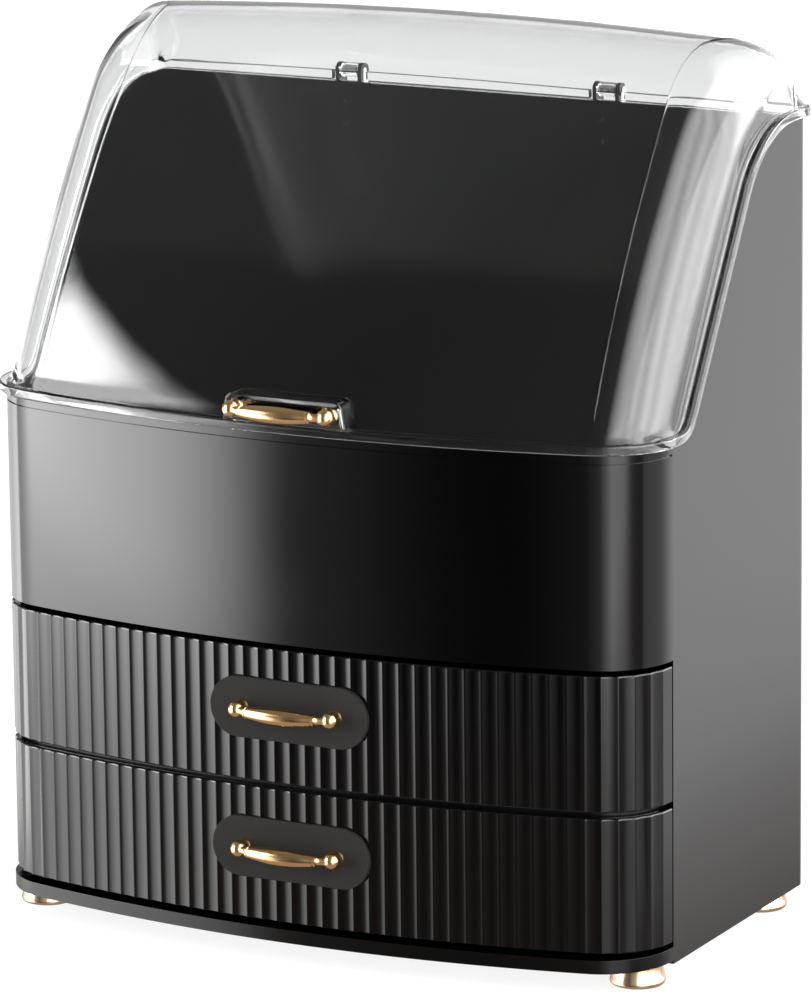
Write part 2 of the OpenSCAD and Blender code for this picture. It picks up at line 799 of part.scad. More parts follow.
module drawer_front(z) color(shell_black) placed() difference() {
    union() {
        translate([0, 0, z + front_edge_r]) linear_extrude(front_h - 2 * front_edge_r)
            difference() {
                front_ring(0);
                flute_cuts();
            }
        // the long edges step back where they are rounded over
        translate([0, 0, z]) linear_extrude(front_h) front_ring(front_edge_r * 0.7);
    }
    translate([0, 0, z + front_h / 2 + grip_lift]) back_from(-bow_out - eps, plate_sink + eps) plate_shape(plate_fit);
    drawer_screw_holes(z);
}

module drawer_screw_holes(z) for (s = [-1, 1])
    translate([s * post_gap / 2, 0, z + front_h / 2 + grip_lift]) rotate([90, 0, 0]) screw_hole(bow_out + 2 * eps);

// plan of a tray, drawn in by d from its outer face
module tray_plan(d) intersection() {
    bow_plan(front_t + d);
    translate([d - tray_half, -plane_half]) square([2 * (tray_half - d), plane_half + tray_back - d]);
}

module tray(z, front_z) color(shell_black) placed() difference() {
    union() {
        difference() {
            translate([0, 0, z]) linear_extrude(tray_h) tray_plan(0);
            translate([0, 0, z + tray_t]) linear_extrude(tray_h) tray_plan(tray_t);
        }
        translate([-tab_w / 2, tray_back - tray_t, z + tray_h - nudge])
            cube([tab_w, tray_t, tab_h]);
    }
    drawer_screw_holes(front_z);
}

module drawer_plate(z) color(plate_black) placed() difference() {
    translate([0, 0, z + front_h / 2 + grip_lift])
        back_from(-bow_out - plate_proud, plate_proud + plate_sink) plate_shape(0);
    drawer_screw_holes(z);
}

// depth from the handle plate's face to the inside of the tray at the posts
grip_t = plate_proud + front_t + tray_t + bow_r - sqrt(pow(bow_r, 2) - pow(post_gap / 2 + grip_head_r, 2));

module drawer_handle(z) color(gold) placed() handle(-bow_out - plate_proud, z + front_h / 2 + grip_lift);

module drawer_handle_screws(z) color(steel) placed()
    handle_screws(-bow_out - plate_proud, z + front_h / 2 + grip_lift, grip_t);

module upper_tray() tray(upper_tray_z, upper_front_z);
module upper_front() drawer_front(upper_front_z);
module upper_handle_plate() drawer_plate(upper_front_z);
module upper_handle() drawer_handle(upper_front_z);
module upper_handle_screws() drawer_handle_screws(upper_front_z);
module lower_tray() tray(lower_tray_z, lower_front_z);
module lower_front() drawer_front(lower_front_z);
module lower_handle_plate() drawer_plate(lower_front_z);
module lower_handle() drawer_handle(lower_front_z);
module lower_handle_screws() drawer_handle_screws(lower_front_z);

body_shell();
display_floor();
drawer_shelf();
base_plate();
base_screws();
shelf_screws();
floor_screws();
front_left_foot();
front_right_foot();
rear_left_foot();
rear_right_foot();
foot_pads();
foot_screws();
left_hinge_bracket();
right_hinge_bracket();
hinge_pins();
hinge_screws();
lid_cover();
lid_handle();
lid_handle_screws();
upper_tray();
upper_front();
upper_handle_plate();
upper_handle();
upper_handle_screws();
lower_tray();
lower_front();
lower_handle_plate();
lower_handle();
lower_handle_screws();
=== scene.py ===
"""Looks of a counter-top makeup organizer: black body, fluted drawers, clear lid, warm metal handles."""
import math

import bmesh
import bpy
from bpy.props import FloatProperty, FloatVectorProperty, IntProperty, PointerProperty
from mathutils import Matrix, Vector


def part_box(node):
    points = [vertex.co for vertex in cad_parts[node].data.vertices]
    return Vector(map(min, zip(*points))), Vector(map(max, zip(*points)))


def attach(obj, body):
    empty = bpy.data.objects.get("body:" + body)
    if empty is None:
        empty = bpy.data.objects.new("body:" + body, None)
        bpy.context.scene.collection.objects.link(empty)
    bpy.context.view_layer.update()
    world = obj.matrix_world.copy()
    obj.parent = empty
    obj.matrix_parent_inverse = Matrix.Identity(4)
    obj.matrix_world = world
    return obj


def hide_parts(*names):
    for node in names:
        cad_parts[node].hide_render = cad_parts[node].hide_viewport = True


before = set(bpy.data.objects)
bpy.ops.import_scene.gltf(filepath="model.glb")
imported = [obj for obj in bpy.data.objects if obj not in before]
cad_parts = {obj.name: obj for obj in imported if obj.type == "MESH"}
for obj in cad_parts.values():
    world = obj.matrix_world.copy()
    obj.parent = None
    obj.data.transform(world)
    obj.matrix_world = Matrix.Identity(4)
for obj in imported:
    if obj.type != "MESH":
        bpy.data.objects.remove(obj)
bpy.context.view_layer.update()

bl_info = {
    "name": "Makeup organizer",
    "version": (1, 0, 0),
    "blender": (4, 5, 0),
    "location": "3D View > Sidebar > Organizer",
    "description": "Builds the visible pieces of a makeup organizer on its packed frame",
    "category": "Object",
}

# The drawings are in millimetres, with x = 0 in the middle, y = 0 where the flat sides start, and the
# drawers towards -y. BASE_Z and BASE_TOP lie 1.6 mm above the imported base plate, so that the feet show.
HALF_W = 150.0
SIDE = 128.0
BOW = 43.5
CORNER_R = 30.0
CORNER_X = HALF_W - CORNER_R
REAR_R = 3.0
WALL = 3.0
RIM_Z = 220.7
BACK_Z = 333.0
RIM_SLOPE = math.radians(57.7)
DIP_R = 16.0
CREST_R = 50.0
SLOPE_Y = 12.0
FRONT_END = 0.5
FOOT_Z = 8.0
FOOT_X = 137.0
FOOT_Y = {"front": -5.5, "rear": SIDE - 15.0}
BASE_Z = 9.6
BASE_TOP = 15.2
BASE_PROUD = 2.2
STRIP_SIZE = (6.0, 111.0, 3.0)
STRIP_X, STRIP_Y, STRIP_Z = 100.0, 59.5, 16.2
SHELF_LEDGE_Z = 71.8
FLOOR_LEDGE_Z = 135.8
LEDGE_T = 2.0
LEDGE_OUT = 1.6
LEDGE_SUNK = 0.05
GROOVE_DROP = 3.0
GROOVE_H = 0.7
GRIP_LIFT = 2.6
SEAT_GAP = 0.3
SEAT_Z = RIM_Z + SEAT_GAP
FLANGE_T = 4.0
FLANGE_OUT = 3.0
LID_T = 2.5
LID_LEAN = math.radians(63.0)
CROWN_LEAN = math.radians(46.0)
LID_BACK_R = 35.0
LID_REAR_R = 11.0
LID_END_Z = BACK_Z + SEAT_GAP + FLANGE_T
PAD_Y = -BOW - 1.5
PAD_W = 56.0
PAD_H = 15.0
PAD_R = 4.0
PAD_LEAN = math.radians(8.0)
LID_HANDLE_Z = SEAT_Z + 9.1
HINGE_X = 60.0
HINGE_Y = SIDE + 4.0
HINGE_Z = BACK_Z + 4.5
FRONT_Z = {"lower": 17.0, "upper": 75.4}
FRONT_H = 56.2
FRONT_T = 3.0
WALL_Z = 133.8
PLATE_PROUD = 1.0
PLATE_T = 2.6
PLATE_R = 12.8
PLATE_STRETCH = 23.05
PLATE_EDGES = 96
POST_GAP = 42.6

# from the drawing to the frame: metres, moved back so that the body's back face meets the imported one
PLACE = Matrix.Scale(0.001, 4) @ Matrix.Translation((0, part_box("body_shell")[1].y * 1000 - SIDE, 0))


# ---------- drawing ----------

class BodyPlan:
    """Plan of the body: a wide bow in front, two round corners, flat sides and a flat back."""

    def __init__(self, out=BOW, lead=0.0):
        reach = out - lead
        self.lead = lead
        self.bow_r = (CORNER_X ** 2 + reach ** 2 - CORNER_R ** 2) / (2 * (reach - CORNER_R))
        self.bow_y = self.bow_r - out
        self.turn = math.asin(CORNER_X / (self.bow_r - CORNER_R))
        self.bow_len = self.bow_r * self.turn
        self.front_len = self.bow_len + CORNER_R * (math.pi / 2 - self.turn)
        self.side_end = self.front_len + SIDE - REAR_R + lead
        self.rear_end = self.side_end + REAR_R * math.pi / 2
        self.back_end = self.rear_end + HALF_W - REAR_R

    def at(self, s, inset=0.0):
        """Point s along the outer face from the front's middle, drawn in by inset."""
        side, s = (-1 if s < 0 else 1), abs(s)
        if s <= self.bow_len:
            a, r = s / self.bow_r, self.bow_r - inset
            x, y = r * math.sin(a), self.bow_y - r * math.cos(a)
        elif s <= self.front_len:
            a, r = self.turn + (s - self.bow_len) / CORNER_R, CORNER_R - inset
            x, y = CORNER_X + r * math.sin(a), -self.lead - r * math.cos(a)
        elif s <= self.side_end:
            x, y = HALF_W - inset, s - self.front_len - self.lead
        elif s <= self.rear_end:
            a, r = (s - self.side_end) / REAR_R, max(REAR_R - inset, 0.2)
            x, y = HALF_W - inset - r + r * math.cos(a), SIDE - inset - r + r * math.sin(a)
        else:
            x, y = HALF_W - REAR_R - (s - self.rear_end), SIDE - inset
        return side * x, y

    def end_of_front(self, y, inset=0.0):
        """Distance along the outer face at which the round corner, drawn in by inset, reaches y."""
        a = math.acos((-self.lead - y) / (CORNER_R - inset))
        return self.bow_len + CORNER_R * (a - self.turn)


PLAN = BodyPlan()


def steps(a, b, n):
    """n values after a, the last of them b."""
    return [a + (b - a) * (i + 1) / n for i in range(n)]


def walk(path, s, point, heading):
    """Point s along a path of (length, turn per millimetre) stretches, in side view."""
    y, z = point
    for i, (length, bend) in enumerate(path):
        step = s if i == len(path) - 1 else min(s, length)
        if bend == 0:
            y, z = y + step * math.cos(heading), z + step * math.sin(heading)
        else:
            y += (math.sin(heading + bend * step) - math.sin(heading)) / bend
            z += (math.cos(heading) - math.cos(heading + bend * step)) / bend
        heading += bend * step
        s -= step
        if s <= 0:
            break
    return y, z


def rim_path(drop, back=SIDE):
    """Side rim from the front end of the flat side to the back, lowered square to itself."""
    dip, crest, bend = DIP_R + drop, CREST_R - drop, math.tan(RIM_SLOPE / 2)
    run = (BACK_Z - RIM_Z) / math.tan(RIM_SLOPE)
    return [(SLOPE_Y - DIP_R * bend, 0), (dip * RIM_SLOPE, 1 / dip),
            ((BACK_Z - RIM_Z) / math.sin(RIM_SLOPE) - (DIP_R + CREST_R) * bend, 0),
            (crest * RIM_SLOPE, -1 / crest), (back - SLOPE_Y - run - CREST_R * bend, 0)]


def rim_point(drop, t, back=SIDE):
    """(y, z) a share t of the way along the side rim."""
    path = rim_path(drop, back)
    return walk(path, t * sum(length for length, _ in path), (0.0, RIM_Z - drop), 0.0)


RIM = [rim_point(0.0, i / 400) for i in range(401)]


def rim_height(y):
    """Height of the body's rim over the side wall at y."""
    if y <= 0:
        return RIM_Z
    for (y0, z0), (y1, z1) in zip(RIM, RIM[1:]):
        if y <= y1:
            return z0 + (z1 - z0) * (y - y0) / (y1 - y0)
    return BACK_Z


# ---------- mesh tools ----------

def new_drawing(*layers):
    """Empty bmesh with float layers that every new vertex keeps when it is pulled out of another."""
    bm = bmesh.new()
    for name in layers:
        bm.verts.layers.float.new(name)
    return bm


def pull(bm, edges, place):
    """Extrudes edges, puts each new vertex where place(vertex) says, and gives the new edges."""
    made = bmesh.ops.extrude_edge_only(bm, edges=edges)["geom"]
    verts = {g for g in made if isinstance(g, bmesh.types.BMVert)}
    for v in verts:
        v.co = place(v)
    return [g for g in made if isinstance(g, bmesh.types.BMEdge) and set(g.verts) <= verts]


def ring(bm, values, layer, place, cap=False):
    """Closed ring with one vertex for each value, kept in a layer; gives its edges."""
    verts = bmesh.ops.create_circle(bm, cap_ends=cap, radius=1.0, segments=len(values))["verts"]
    mark = bm.verts.layers.float[layer]
    for v, value in zip(verts, values):
        v[mark] = value
        v.co = place(v)
    inside = set(verts)
    return [e for e in bm.edges if set(e.verts) <= inside]


def sharp_edges(bm, angle, test=lambda e: True):
    """Edges whose two faces meet at more than angle degrees and that pass the test."""
    limit = math.radians(angle)
    return [e for e in bm.edges if len(e.link_faces) == 2 and e.calc_face_angle(0) > limit and test(e)]


def round_edges(bm, edges, radius, segments=3):
    """Rounds edges over."""
    bmesh.ops.bevel(bm, geom=edges, offset=radius, offset_type="OFFSET", affect="EDGES",
                    segments=segments, profile=0.5, material=-1, clamp_overlap=True)


def raise_faces(bm):
    """Extrudes every face in place and gives the new vertices."""
    made = bmesh.ops.extrude_face_region(bm, geom=bm.faces[:])["geom"]
    return [g for g in made if isinstance(g, bmesh.types.BMVert)]


def block(bm, size, middle):
    """Adds a block; gives the drawing."""
    verts = bmesh.ops.create_cube(bm, size=1.0)["verts"]
    bmesh.ops.scale(bm, vec=size, verts=verts)
    bmesh.ops.translate(bm, vec=middle, verts=verts)
    return bm


def lathe(bm, profile, matrix, turns):
    """Spins a profile of (radius, height) points about +Z, then moves it by matrix."""
    verts = [bm.verts.new((r, 0, h)) for r, h in profile]
    edges = [bm.edges.new(pair) for pair in zip(verts, verts[1:])]
    bmesh.ops.spin(bm, geom=verts + edges, cent=(0, 0, 0), axis=(0, 0, 1), dvec=(0, 0, 0),
                   angle=2 * math.pi, steps=turns, use_merge=True, use_duplicate=False)
    faces = {f for e in edges for f in e.link_faces}
    grown = set(faces)
    while grown:
        grown = {g for f in grown for e in f.edges for g in e.link_faces} - faces
        faces |= grown
    lathed = list({v for f in faces for v in f.verts})
    bmesh.ops.remove_doubles(bm, verts=lathed, dist=0.001)
    lathed = [v for v in lathed if v.is_valid]
    bmesh.ops.transform(bm, matrix=matrix, verts=lathed)


def turned_tool(profile, place, axis, angle, turns):
    """Drawing of one lathed solid at a place, with its axis turned by an angle in degrees."""
    bm = bmesh.new()
    lathe(bm, profile, Matrix.Translation(place) @ Matrix.Rotation(math.radians(angle), 4, axis), turns)
    bmesh.ops.recalc_face_normals(bm, faces=bm.faces)
    return bm


def round_to(r, h, radius, start, end, n):
    """Profile points of a round edge about (r, h) between two angles in degrees."""
    return [(r + radius * math.cos(math.radians(a)), h + radius * math.sin(math.radians(a)))
            for a in [start] + steps(start, end, n)]


def as_object(bm, name):
    """Object with the drawing's mesh, still in millimetres."""
    mesh = bpy.data.meshes.new(name)
    bm.to_mesh(mesh)
    bm.free()
    piece = bpy.data.objects.new(name, mesh)
    bpy.context.scene.collection.objects.link(piece)
    return piece


def settle(piece):
    """Replaces a piece's mesh by the mesh with its modifiers worked in, and takes the modifiers off."""
    bpy.context.view_layer.update()
    seen = piece.evaluated_get(bpy.context.evaluated_depsgraph_get())
    mesh = bpy.data.meshes.new_from_object(seen)
    piece.modifiers.clear()
    old, piece.data = piece.data, mesh
    bpy.data.meshes.remove(old)


def cut_or_join(piece, tool, operation):
    """Boolean with a second drawing, which is used up."""
    other = as_object(tool, piece.name + "_tool")
    step = piece.modifiers.new("Boolean", "BOOLEAN")
    step.object, step.operation, step.solver = other, operation, "EXACT"
    settle(piece)
    mesh = other.data
    bpy.data.objects.remove(other)
    bpy.data.meshes.remove(mesh)
    if not piece.data.polygons:
        raise RuntimeError(f"{piece.name}: the {operation} step left nothing")


def hand_over(piece, body, node, material, sharp=50.0):
    """Moves a finished drawing into the frame, smooths it, puts its material in a slot, ties it to its body
    and hides the imported node.
    """
    bm = bmesh.new()
    bm.from_mesh(piece.data)
    bmesh.ops.remove_doubles(bm, verts=bm.verts, dist=0.002)
    bmesh.ops.dissolve_degenerate(bm, edges=bm.edges, dist=0.001)
    bmesh.ops.recalc_face_normals(bm, faces=bm.faces)
    bmesh.ops.transform(bm, matrix=PLACE, verts=bm.verts)
    for f in bm.faces:
        f.smooth = True
    mesh = bpy.data.meshes.new(piece.name)
    bm.to_mesh(mesh)
    bm.free()
    mesh.set_sharp_from_angle(angle=math.radians(sharp))
    mesh.materials.append(material)
    old, piece.data = piece.data, mesh
    bpy.data.meshes.remove(old)
    even = piece.modifiers.new("Even normals", "WEIGHTED_NORMAL")
    even.keep_sharp = True
    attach(piece, body)
    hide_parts(node)


# ---------- finishes ----------

def empty_tree(owner):
    """Cleared node tree of a material or world."""
    owner.use_nodes = True
    owner.node_tree.nodes.clear()
    return owner.node_tree


def put(tree, kind, **values):
    """New node; a value that names a socket sets it, and any other sets a property of the node."""
    node = tree.nodes.new(kind)
    for key, value in values.items():
        name = key.replace("_", " ")
        if name in node.inputs:
            node.inputs[name].default_value = value
        else:
            setattr(node, key, value)
    return node


def moulded_skin_group():
    """Slow drift of gloss and a faint ripple, as on moulded plastic or cast and brushed metal."""
    name = "Moulded skin"
    if name in bpy.data.node_groups:
        return bpy.data.node_groups[name]
    group = bpy.data.node_groups.new(name, "ShaderNodeTree")
    face = group.interface
    for label, value in (("Scale", 40.0), ("Roughness", 0.15), ("Drift", 0.03), ("Grain", 900.0)):
        face.new_socket(label, in_out="INPUT", socket_type="NodeSocketFloat").default_value = value
    face.new_socket("Stretch", in_out="INPUT", socket_type="NodeSocketVector").default_value = (1, 1, 1)
    for label in ("Roughness", "Height", "Fine"):
        face.new_socket(label, in_out="OUTPUT", socket_type="NodeSocketFloat")
    given, given_out = group.nodes.new("NodeGroupInput"), group.nodes.new("NodeGroupOutput")
    where = put(group, "ShaderNodeTexCoord")
    scaled = put(group, "ShaderNodeVectorMath", operation="MULTIPLY")
    slow = put(group, "ShaderNodeTexNoise", Detail=2.0, Roughness=0.5)
    fine = put(group, "ShaderNodeTexNoise", Detail=3.0, Roughness=0.6)
    drift = put(group, "ShaderNodeMapRange", From_Min=0.3, From_Max=0.7)
    low = put(group, "ShaderNodeMath", operation="SUBTRACT")
    high = put(group, "ShaderNodeMath", operation="ADD")
    for source, target in (
            (where.outputs["Object"], scaled.inputs[0]),
            (given.outputs["Stretch"], scaled.inputs[1]),
            (where.outputs["Object"], slow.inputs["Vector"]),
            (scaled.outputs[0], fine.inputs["Vector"]),
            (given.outputs["Scale"], slow.inputs["Scale"]),
            (given.outputs["Grain"], fine.inputs["Scale"]),
            (slow.outputs["Fac"], drift.inputs["Value"]),
            (given.outputs["Roughness"], low.inputs[0]),
            (given.outputs["Drift"], low.inputs[1]),
            (given.outputs["Roughness"], high.inputs[0]),
            (given.outputs["Drift"], high.inputs[1]),
            (low.outputs[0], drift.inputs["To Min"]),
            (high.outputs[0], drift.inputs["To Max"]),
            (drift.outputs[0], given_out.inputs["Roughness"]),
            (slow.outputs["Fac"], given_out.inputs["Height"]),
            (fine.outputs["Fac"], given_out.inputs["Fine"])):
        group.links.new(source, target)
    return group


def skin(tree, shader, scale, roughness, drift, grain, stretch, ripple, tooth):
    """Puts the moulded skin on a shader: gloss drift, slow ripple and fine tooth, depths in metres."""
    group = put(tree, "ShaderNodeGroup")
    group.node_tree = moulded_skin_group()
    for label, value in (("Scale", scale), ("Roughness", roughness), ("Drift", drift), ("Grain", grain),
                         ("Stretch", stretch)):
        group.inputs[label].default_value = value
    tree.links.new(group.outputs["Roughness"], shader.inputs["Roughness"])
    last = None
    for source, depth in (("Height", ripple), ("Fine", tooth)):
        if depth:
            bump = put(tree, "ShaderNodeBump", Strength=1.0, Distance=depth)
            tree.links.new(group.outputs[source], bump.inputs["Height"])
            if last:
                tree.links.new(last.outputs[0], bump.inputs["Normal"])
            last = bump
    if last:
        tree.links.new(last.outputs[0], shader.inputs["Normal"])
    return group


def end_tree(tree, kind, result):
    """Output node of a material or world."""
    tree.links.new(result, put(tree, kind).inputs["Surface"])


def shaded(name, color, **values):
    """Material with one Principled shader; gives the material, its tree and the shader."""
    material = bpy.data.materials.new(name)
    tree = empty_tree(material)
    shader = put(tree, "ShaderNodeBsdfPrincipled", Base_Color=(*color, 1.0), **values)
    end_tree(tree, "ShaderNodeOutputMaterial", shader.outputs[0])
    return material, tree, shader


def tinted(tree, shader, group, color, other):
    """Base colour that wanders a little between two colours with the fine grain."""
    mix = put(tree, "ShaderNodeValToRGB")
    for element, place, shade in zip(mix.color_ramp.elements, (0.35, 0.65), (color, other)):
        element.position, element.color = place, (*shade, 1)
    tree.links.new(group.outputs["Fine"], mix.inputs["Fac"])
    tree.links.new(mix.outputs["Color"], shader.inputs["Base Color"])


def moulded(name, color, shades, scale, roughness, drift, grain, stretch=(1, 1, 1), ripple=0.0, tooth=0.0,
            **values):
    """Material with the moulded skin, whose colour wanders between two shares of itself."""
    if name in bpy.data.materials:
        return bpy.data.materials[name]
    material, tree, shader = shaded(name, color, **values)
    group = skin(tree, shader, scale, roughness, drift, grain, stretch, ripple, tooth)
    tinted(tree, shader, group, *([c * share for c in color] for share in shades))
    return material


def gloss_black():
    """Polished black plastic of the body, base plate and hinge brackets."""
    look = bpy.context.scene.organizer_finish
    return moulded("Gloss black", look.black, (1.0, 1.25), 14.0, look.black_roughness, 0.02, 700.0,
                   ripple=0.00002, tooth=0.0000006, IOR=1.5)


def flute_black():
    """The same plastic on the fluted fronts, a touch less polished."""
    look = bpy.context.scene.organizer_finish
    return moulded("Flute black", look.black, (1.0, 1.3), 20.0, look.black_roughness + 0.02, 0.02, 900.0,
                   tooth=0.0000008, IOR=1.5)


def inner_black():
    """Black plastic inside: decks and trays, with a fine moulded tooth."""
    look = bpy.context.scene.organizer_finish
    return moulded("Inner black", look.black, (1.1, 1.6), 18.0, 0.3, 0.04, 1400.0, tooth=0.000004, IOR=1.5)


def plate_grey():
    """Satin dark grey of the handle plates."""
    look = bpy.context.scene.organizer_finish
    return moulded("Satin grey", look.plate, (0.92, 1.08), 30.0, 0.62, 0.04, 2600.0, tooth=0.000008,
                   IOR=1.45, Specular_IOR_Level=0.15)


def rubber():
    """Matt black rubber of the foot pads."""
    return moulded("Rubber", (0.03, 0.03, 0.03), (0.8, 4 / 3), 60.0, 0.8, 0.08, 3000.0, tooth=0.00003,
                   IOR=1.45)


def metal(name, color, roughness, stretch):
    """Warm plated metal or steel with fine brush marks across the stretch."""
    return moulded(name, color, (0.93, 1.0), 90.0, roughness, 0.05, 1500.0, stretch=stretch, tooth=0.000004,
                   Metallic=1.0)


def clear_plastic():
    """Clear moulded plastic of the lid, with the slow waves that such a shell has."""
    if "Clear plastic" in bpy.data.materials:
        return bpy.data.materials["Clear plastic"]
    look = bpy.context.scene.organizer_finish
    material, tree, shader = shaded("Clear plastic", look.clear, IOR=look.clear_ior, Roughness=0.0,
                                    Transmission_Weight=1.0)
    where = put(tree, "ShaderNodeTexCoord")
    waves = put(tree, "ShaderNodeTexNoise", Scale=16.0, Detail=1.0)
    bump = put(tree, "ShaderNodeBump", Strength=1.0, Distance=look.clear_wave)
    tree.links.new(where.outputs["Object"], waves.inputs["Vector"])
    tree.links.new(waves.outputs["Fac"], bump.inputs["Height"])
    tree.links.new(bump.outputs[0], shader.inputs["Normal"])
    return material


# ---------- settings ----------

class OrganizerSizes(bpy.types.PropertyGroup):
    """Sizes of the finish work that may be changed without leaving the frame."""
    rim_round: FloatProperty(name="Rim rounding", description="Radius of the body's rounded edges",
                             default=0.0009, min=0.0002, max=0.0014, subtype="DISTANCE", unit="LENGTH")
    groove_depth: FloatProperty(name="Groove depth", description="Depth of the line under the front rim",
                                default=0.0006, min=0.0002, max=0.001, subtype="DISTANCE", unit="LENGTH")
    flute_pitch: FloatProperty(name="Flute spacing", description="Spacing of the flutes along the front",
                               default=0.007, min=0.005, max=0.012, subtype="DISTANCE", unit="LENGTH")
    flute_radius: FloatProperty(name="Flute radius", description="Radius of each shallow flute",
                                default=0.015, min=0.012, max=0.05, subtype="DISTANCE", unit="LENGTH")
    flute_land: FloatProperty(name="Ridge width", description="Width of the ridge between two flutes",
                              default=0.0005, min=0.0002, max=0.002, subtype="DISTANCE", unit="LENGTH")
    front_round: FloatProperty(name="Front rounding", description="Radius of the fronts' long edges",
                               default=0.0009, min=0.0003, max=0.0014, subtype="DISTANCE", unit="LENGTH")
    bar_arch: FloatProperty(name="Handle arch",
                            description="How much lower a bar's shoulders stand than its middle",
                            default=0.0018, min=0.0, max=0.003, subtype="DISTANCE", unit="LENGTH")
    lid_bead: FloatProperty(name="Lid bead",
                            description="Height of the fine bead along the lid's front corners",
                            default=0.0002, min=0.0, max=0.0005, subtype="DISTANCE", unit="LENGTH")
    lid_rows: IntProperty(name="Lid rows", description="Steps of the clear shell from front to back",
                          default=72, min=24, max=120)


class OrganizerFinish(bpy.types.PropertyGroup):
    """Colours and gloss."""
    black: FloatVectorProperty(name="Black", description="Colour of the black plastic", subtype="COLOR",
                               default=(0.0011, 0.0011, 0.0012), min=0.0, max=1.0)
    black_roughness: FloatProperty(name="Black roughness", description="Roughness of the polished plastic",
                                   default=0.105, min=0.0, max=1.0, subtype="FACTOR")
    plate: FloatVectorProperty(name="Plate grey", description="Colour of the handle plates", subtype="COLOR",
                               default=(0.0155, 0.0148, 0.0135), min=0.0, max=1.0)
    gold: FloatVectorProperty(name="Handle gold", description="Colour of the handles", subtype="COLOR",
                              default=(0.86, 0.56, 0.27), min=0.0, max=1.0)
    foot_gold: FloatVectorProperty(name="Foot gold", description="Colour of the feet", subtype="COLOR",
                                   default=(0.88, 0.64, 0.42), min=0.0, max=1.0)
    gold_roughness: FloatProperty(name="Gold roughness", description="Roughness of the warm metal",
                                  default=0.2, min=0.0, max=1.0, subtype="FACTOR")
    clear: FloatVectorProperty(name="Clear tint", description="Tint of the clear plastic", subtype="COLOR",
                               default=(0.94, 0.947, 0.944), min=0.0, max=1.0)
    clear_ior: FloatProperty(name="Clear index", description="Refractive index of the clear plastic",
                             default=1.49, min=1.3, max=1.7)
    clear_wave: FloatProperty(name="Lid waves", description="Depth of the slow waves in the clear shell",
                              default=0.0003, min=0.0, max=0.003, subtype="DISTANCE", unit="LENGTH")


class OrganizerStage(bpy.types.PropertyGroup):
    """Floor, light and camera."""
    floor: FloatVectorProperty(name="Floor", description="Colour of the floor, which also glows faintly",
                               subtype="COLOR", default=(0.24, 0.24, 0.24), min=0.0, max=1.0)
    light: FloatProperty(name="Light", description="Strength of the soft studio light", default=1.0, min=0.1,
                         max=5.0)
    azimuth: FloatProperty(name="Camera azimuth", description="Camera's turn to the right of the front",
                           default=math.radians(27.58), subtype="ANGLE", unit="ROTATION")
    elevation: FloatProperty(name="Camera elevation", description="Camera's angle above the horizon",
                             default=math.radians(12.96), subtype="ANGLE", unit="ROTATION")
    roll: FloatProperty(name="Camera roll", description="Tilt of the picture", default=math.radians(-0.62),
                        subtype="ANGLE", unit="ROTATION")
    distance: FloatProperty(name="Camera distance", description="Distance from the aiming point",
                            default=2.671, min=0.5, max=10.0, subtype="DISTANCE", unit="LENGTH")
    lens: FloatProperty(name="Lens", description="Focal length in millimetres on a 36 mm sensor",
                        default=234.0, min=20.0, max=500.0)
    aim: FloatVectorProperty(name="Aim", description="Point at the middle of the picture",
                             default=(-0.0001, 0.020175, 0.1735), subtype="TRANSLATION", unit="LENGTH")


# ---------- pieces ----------

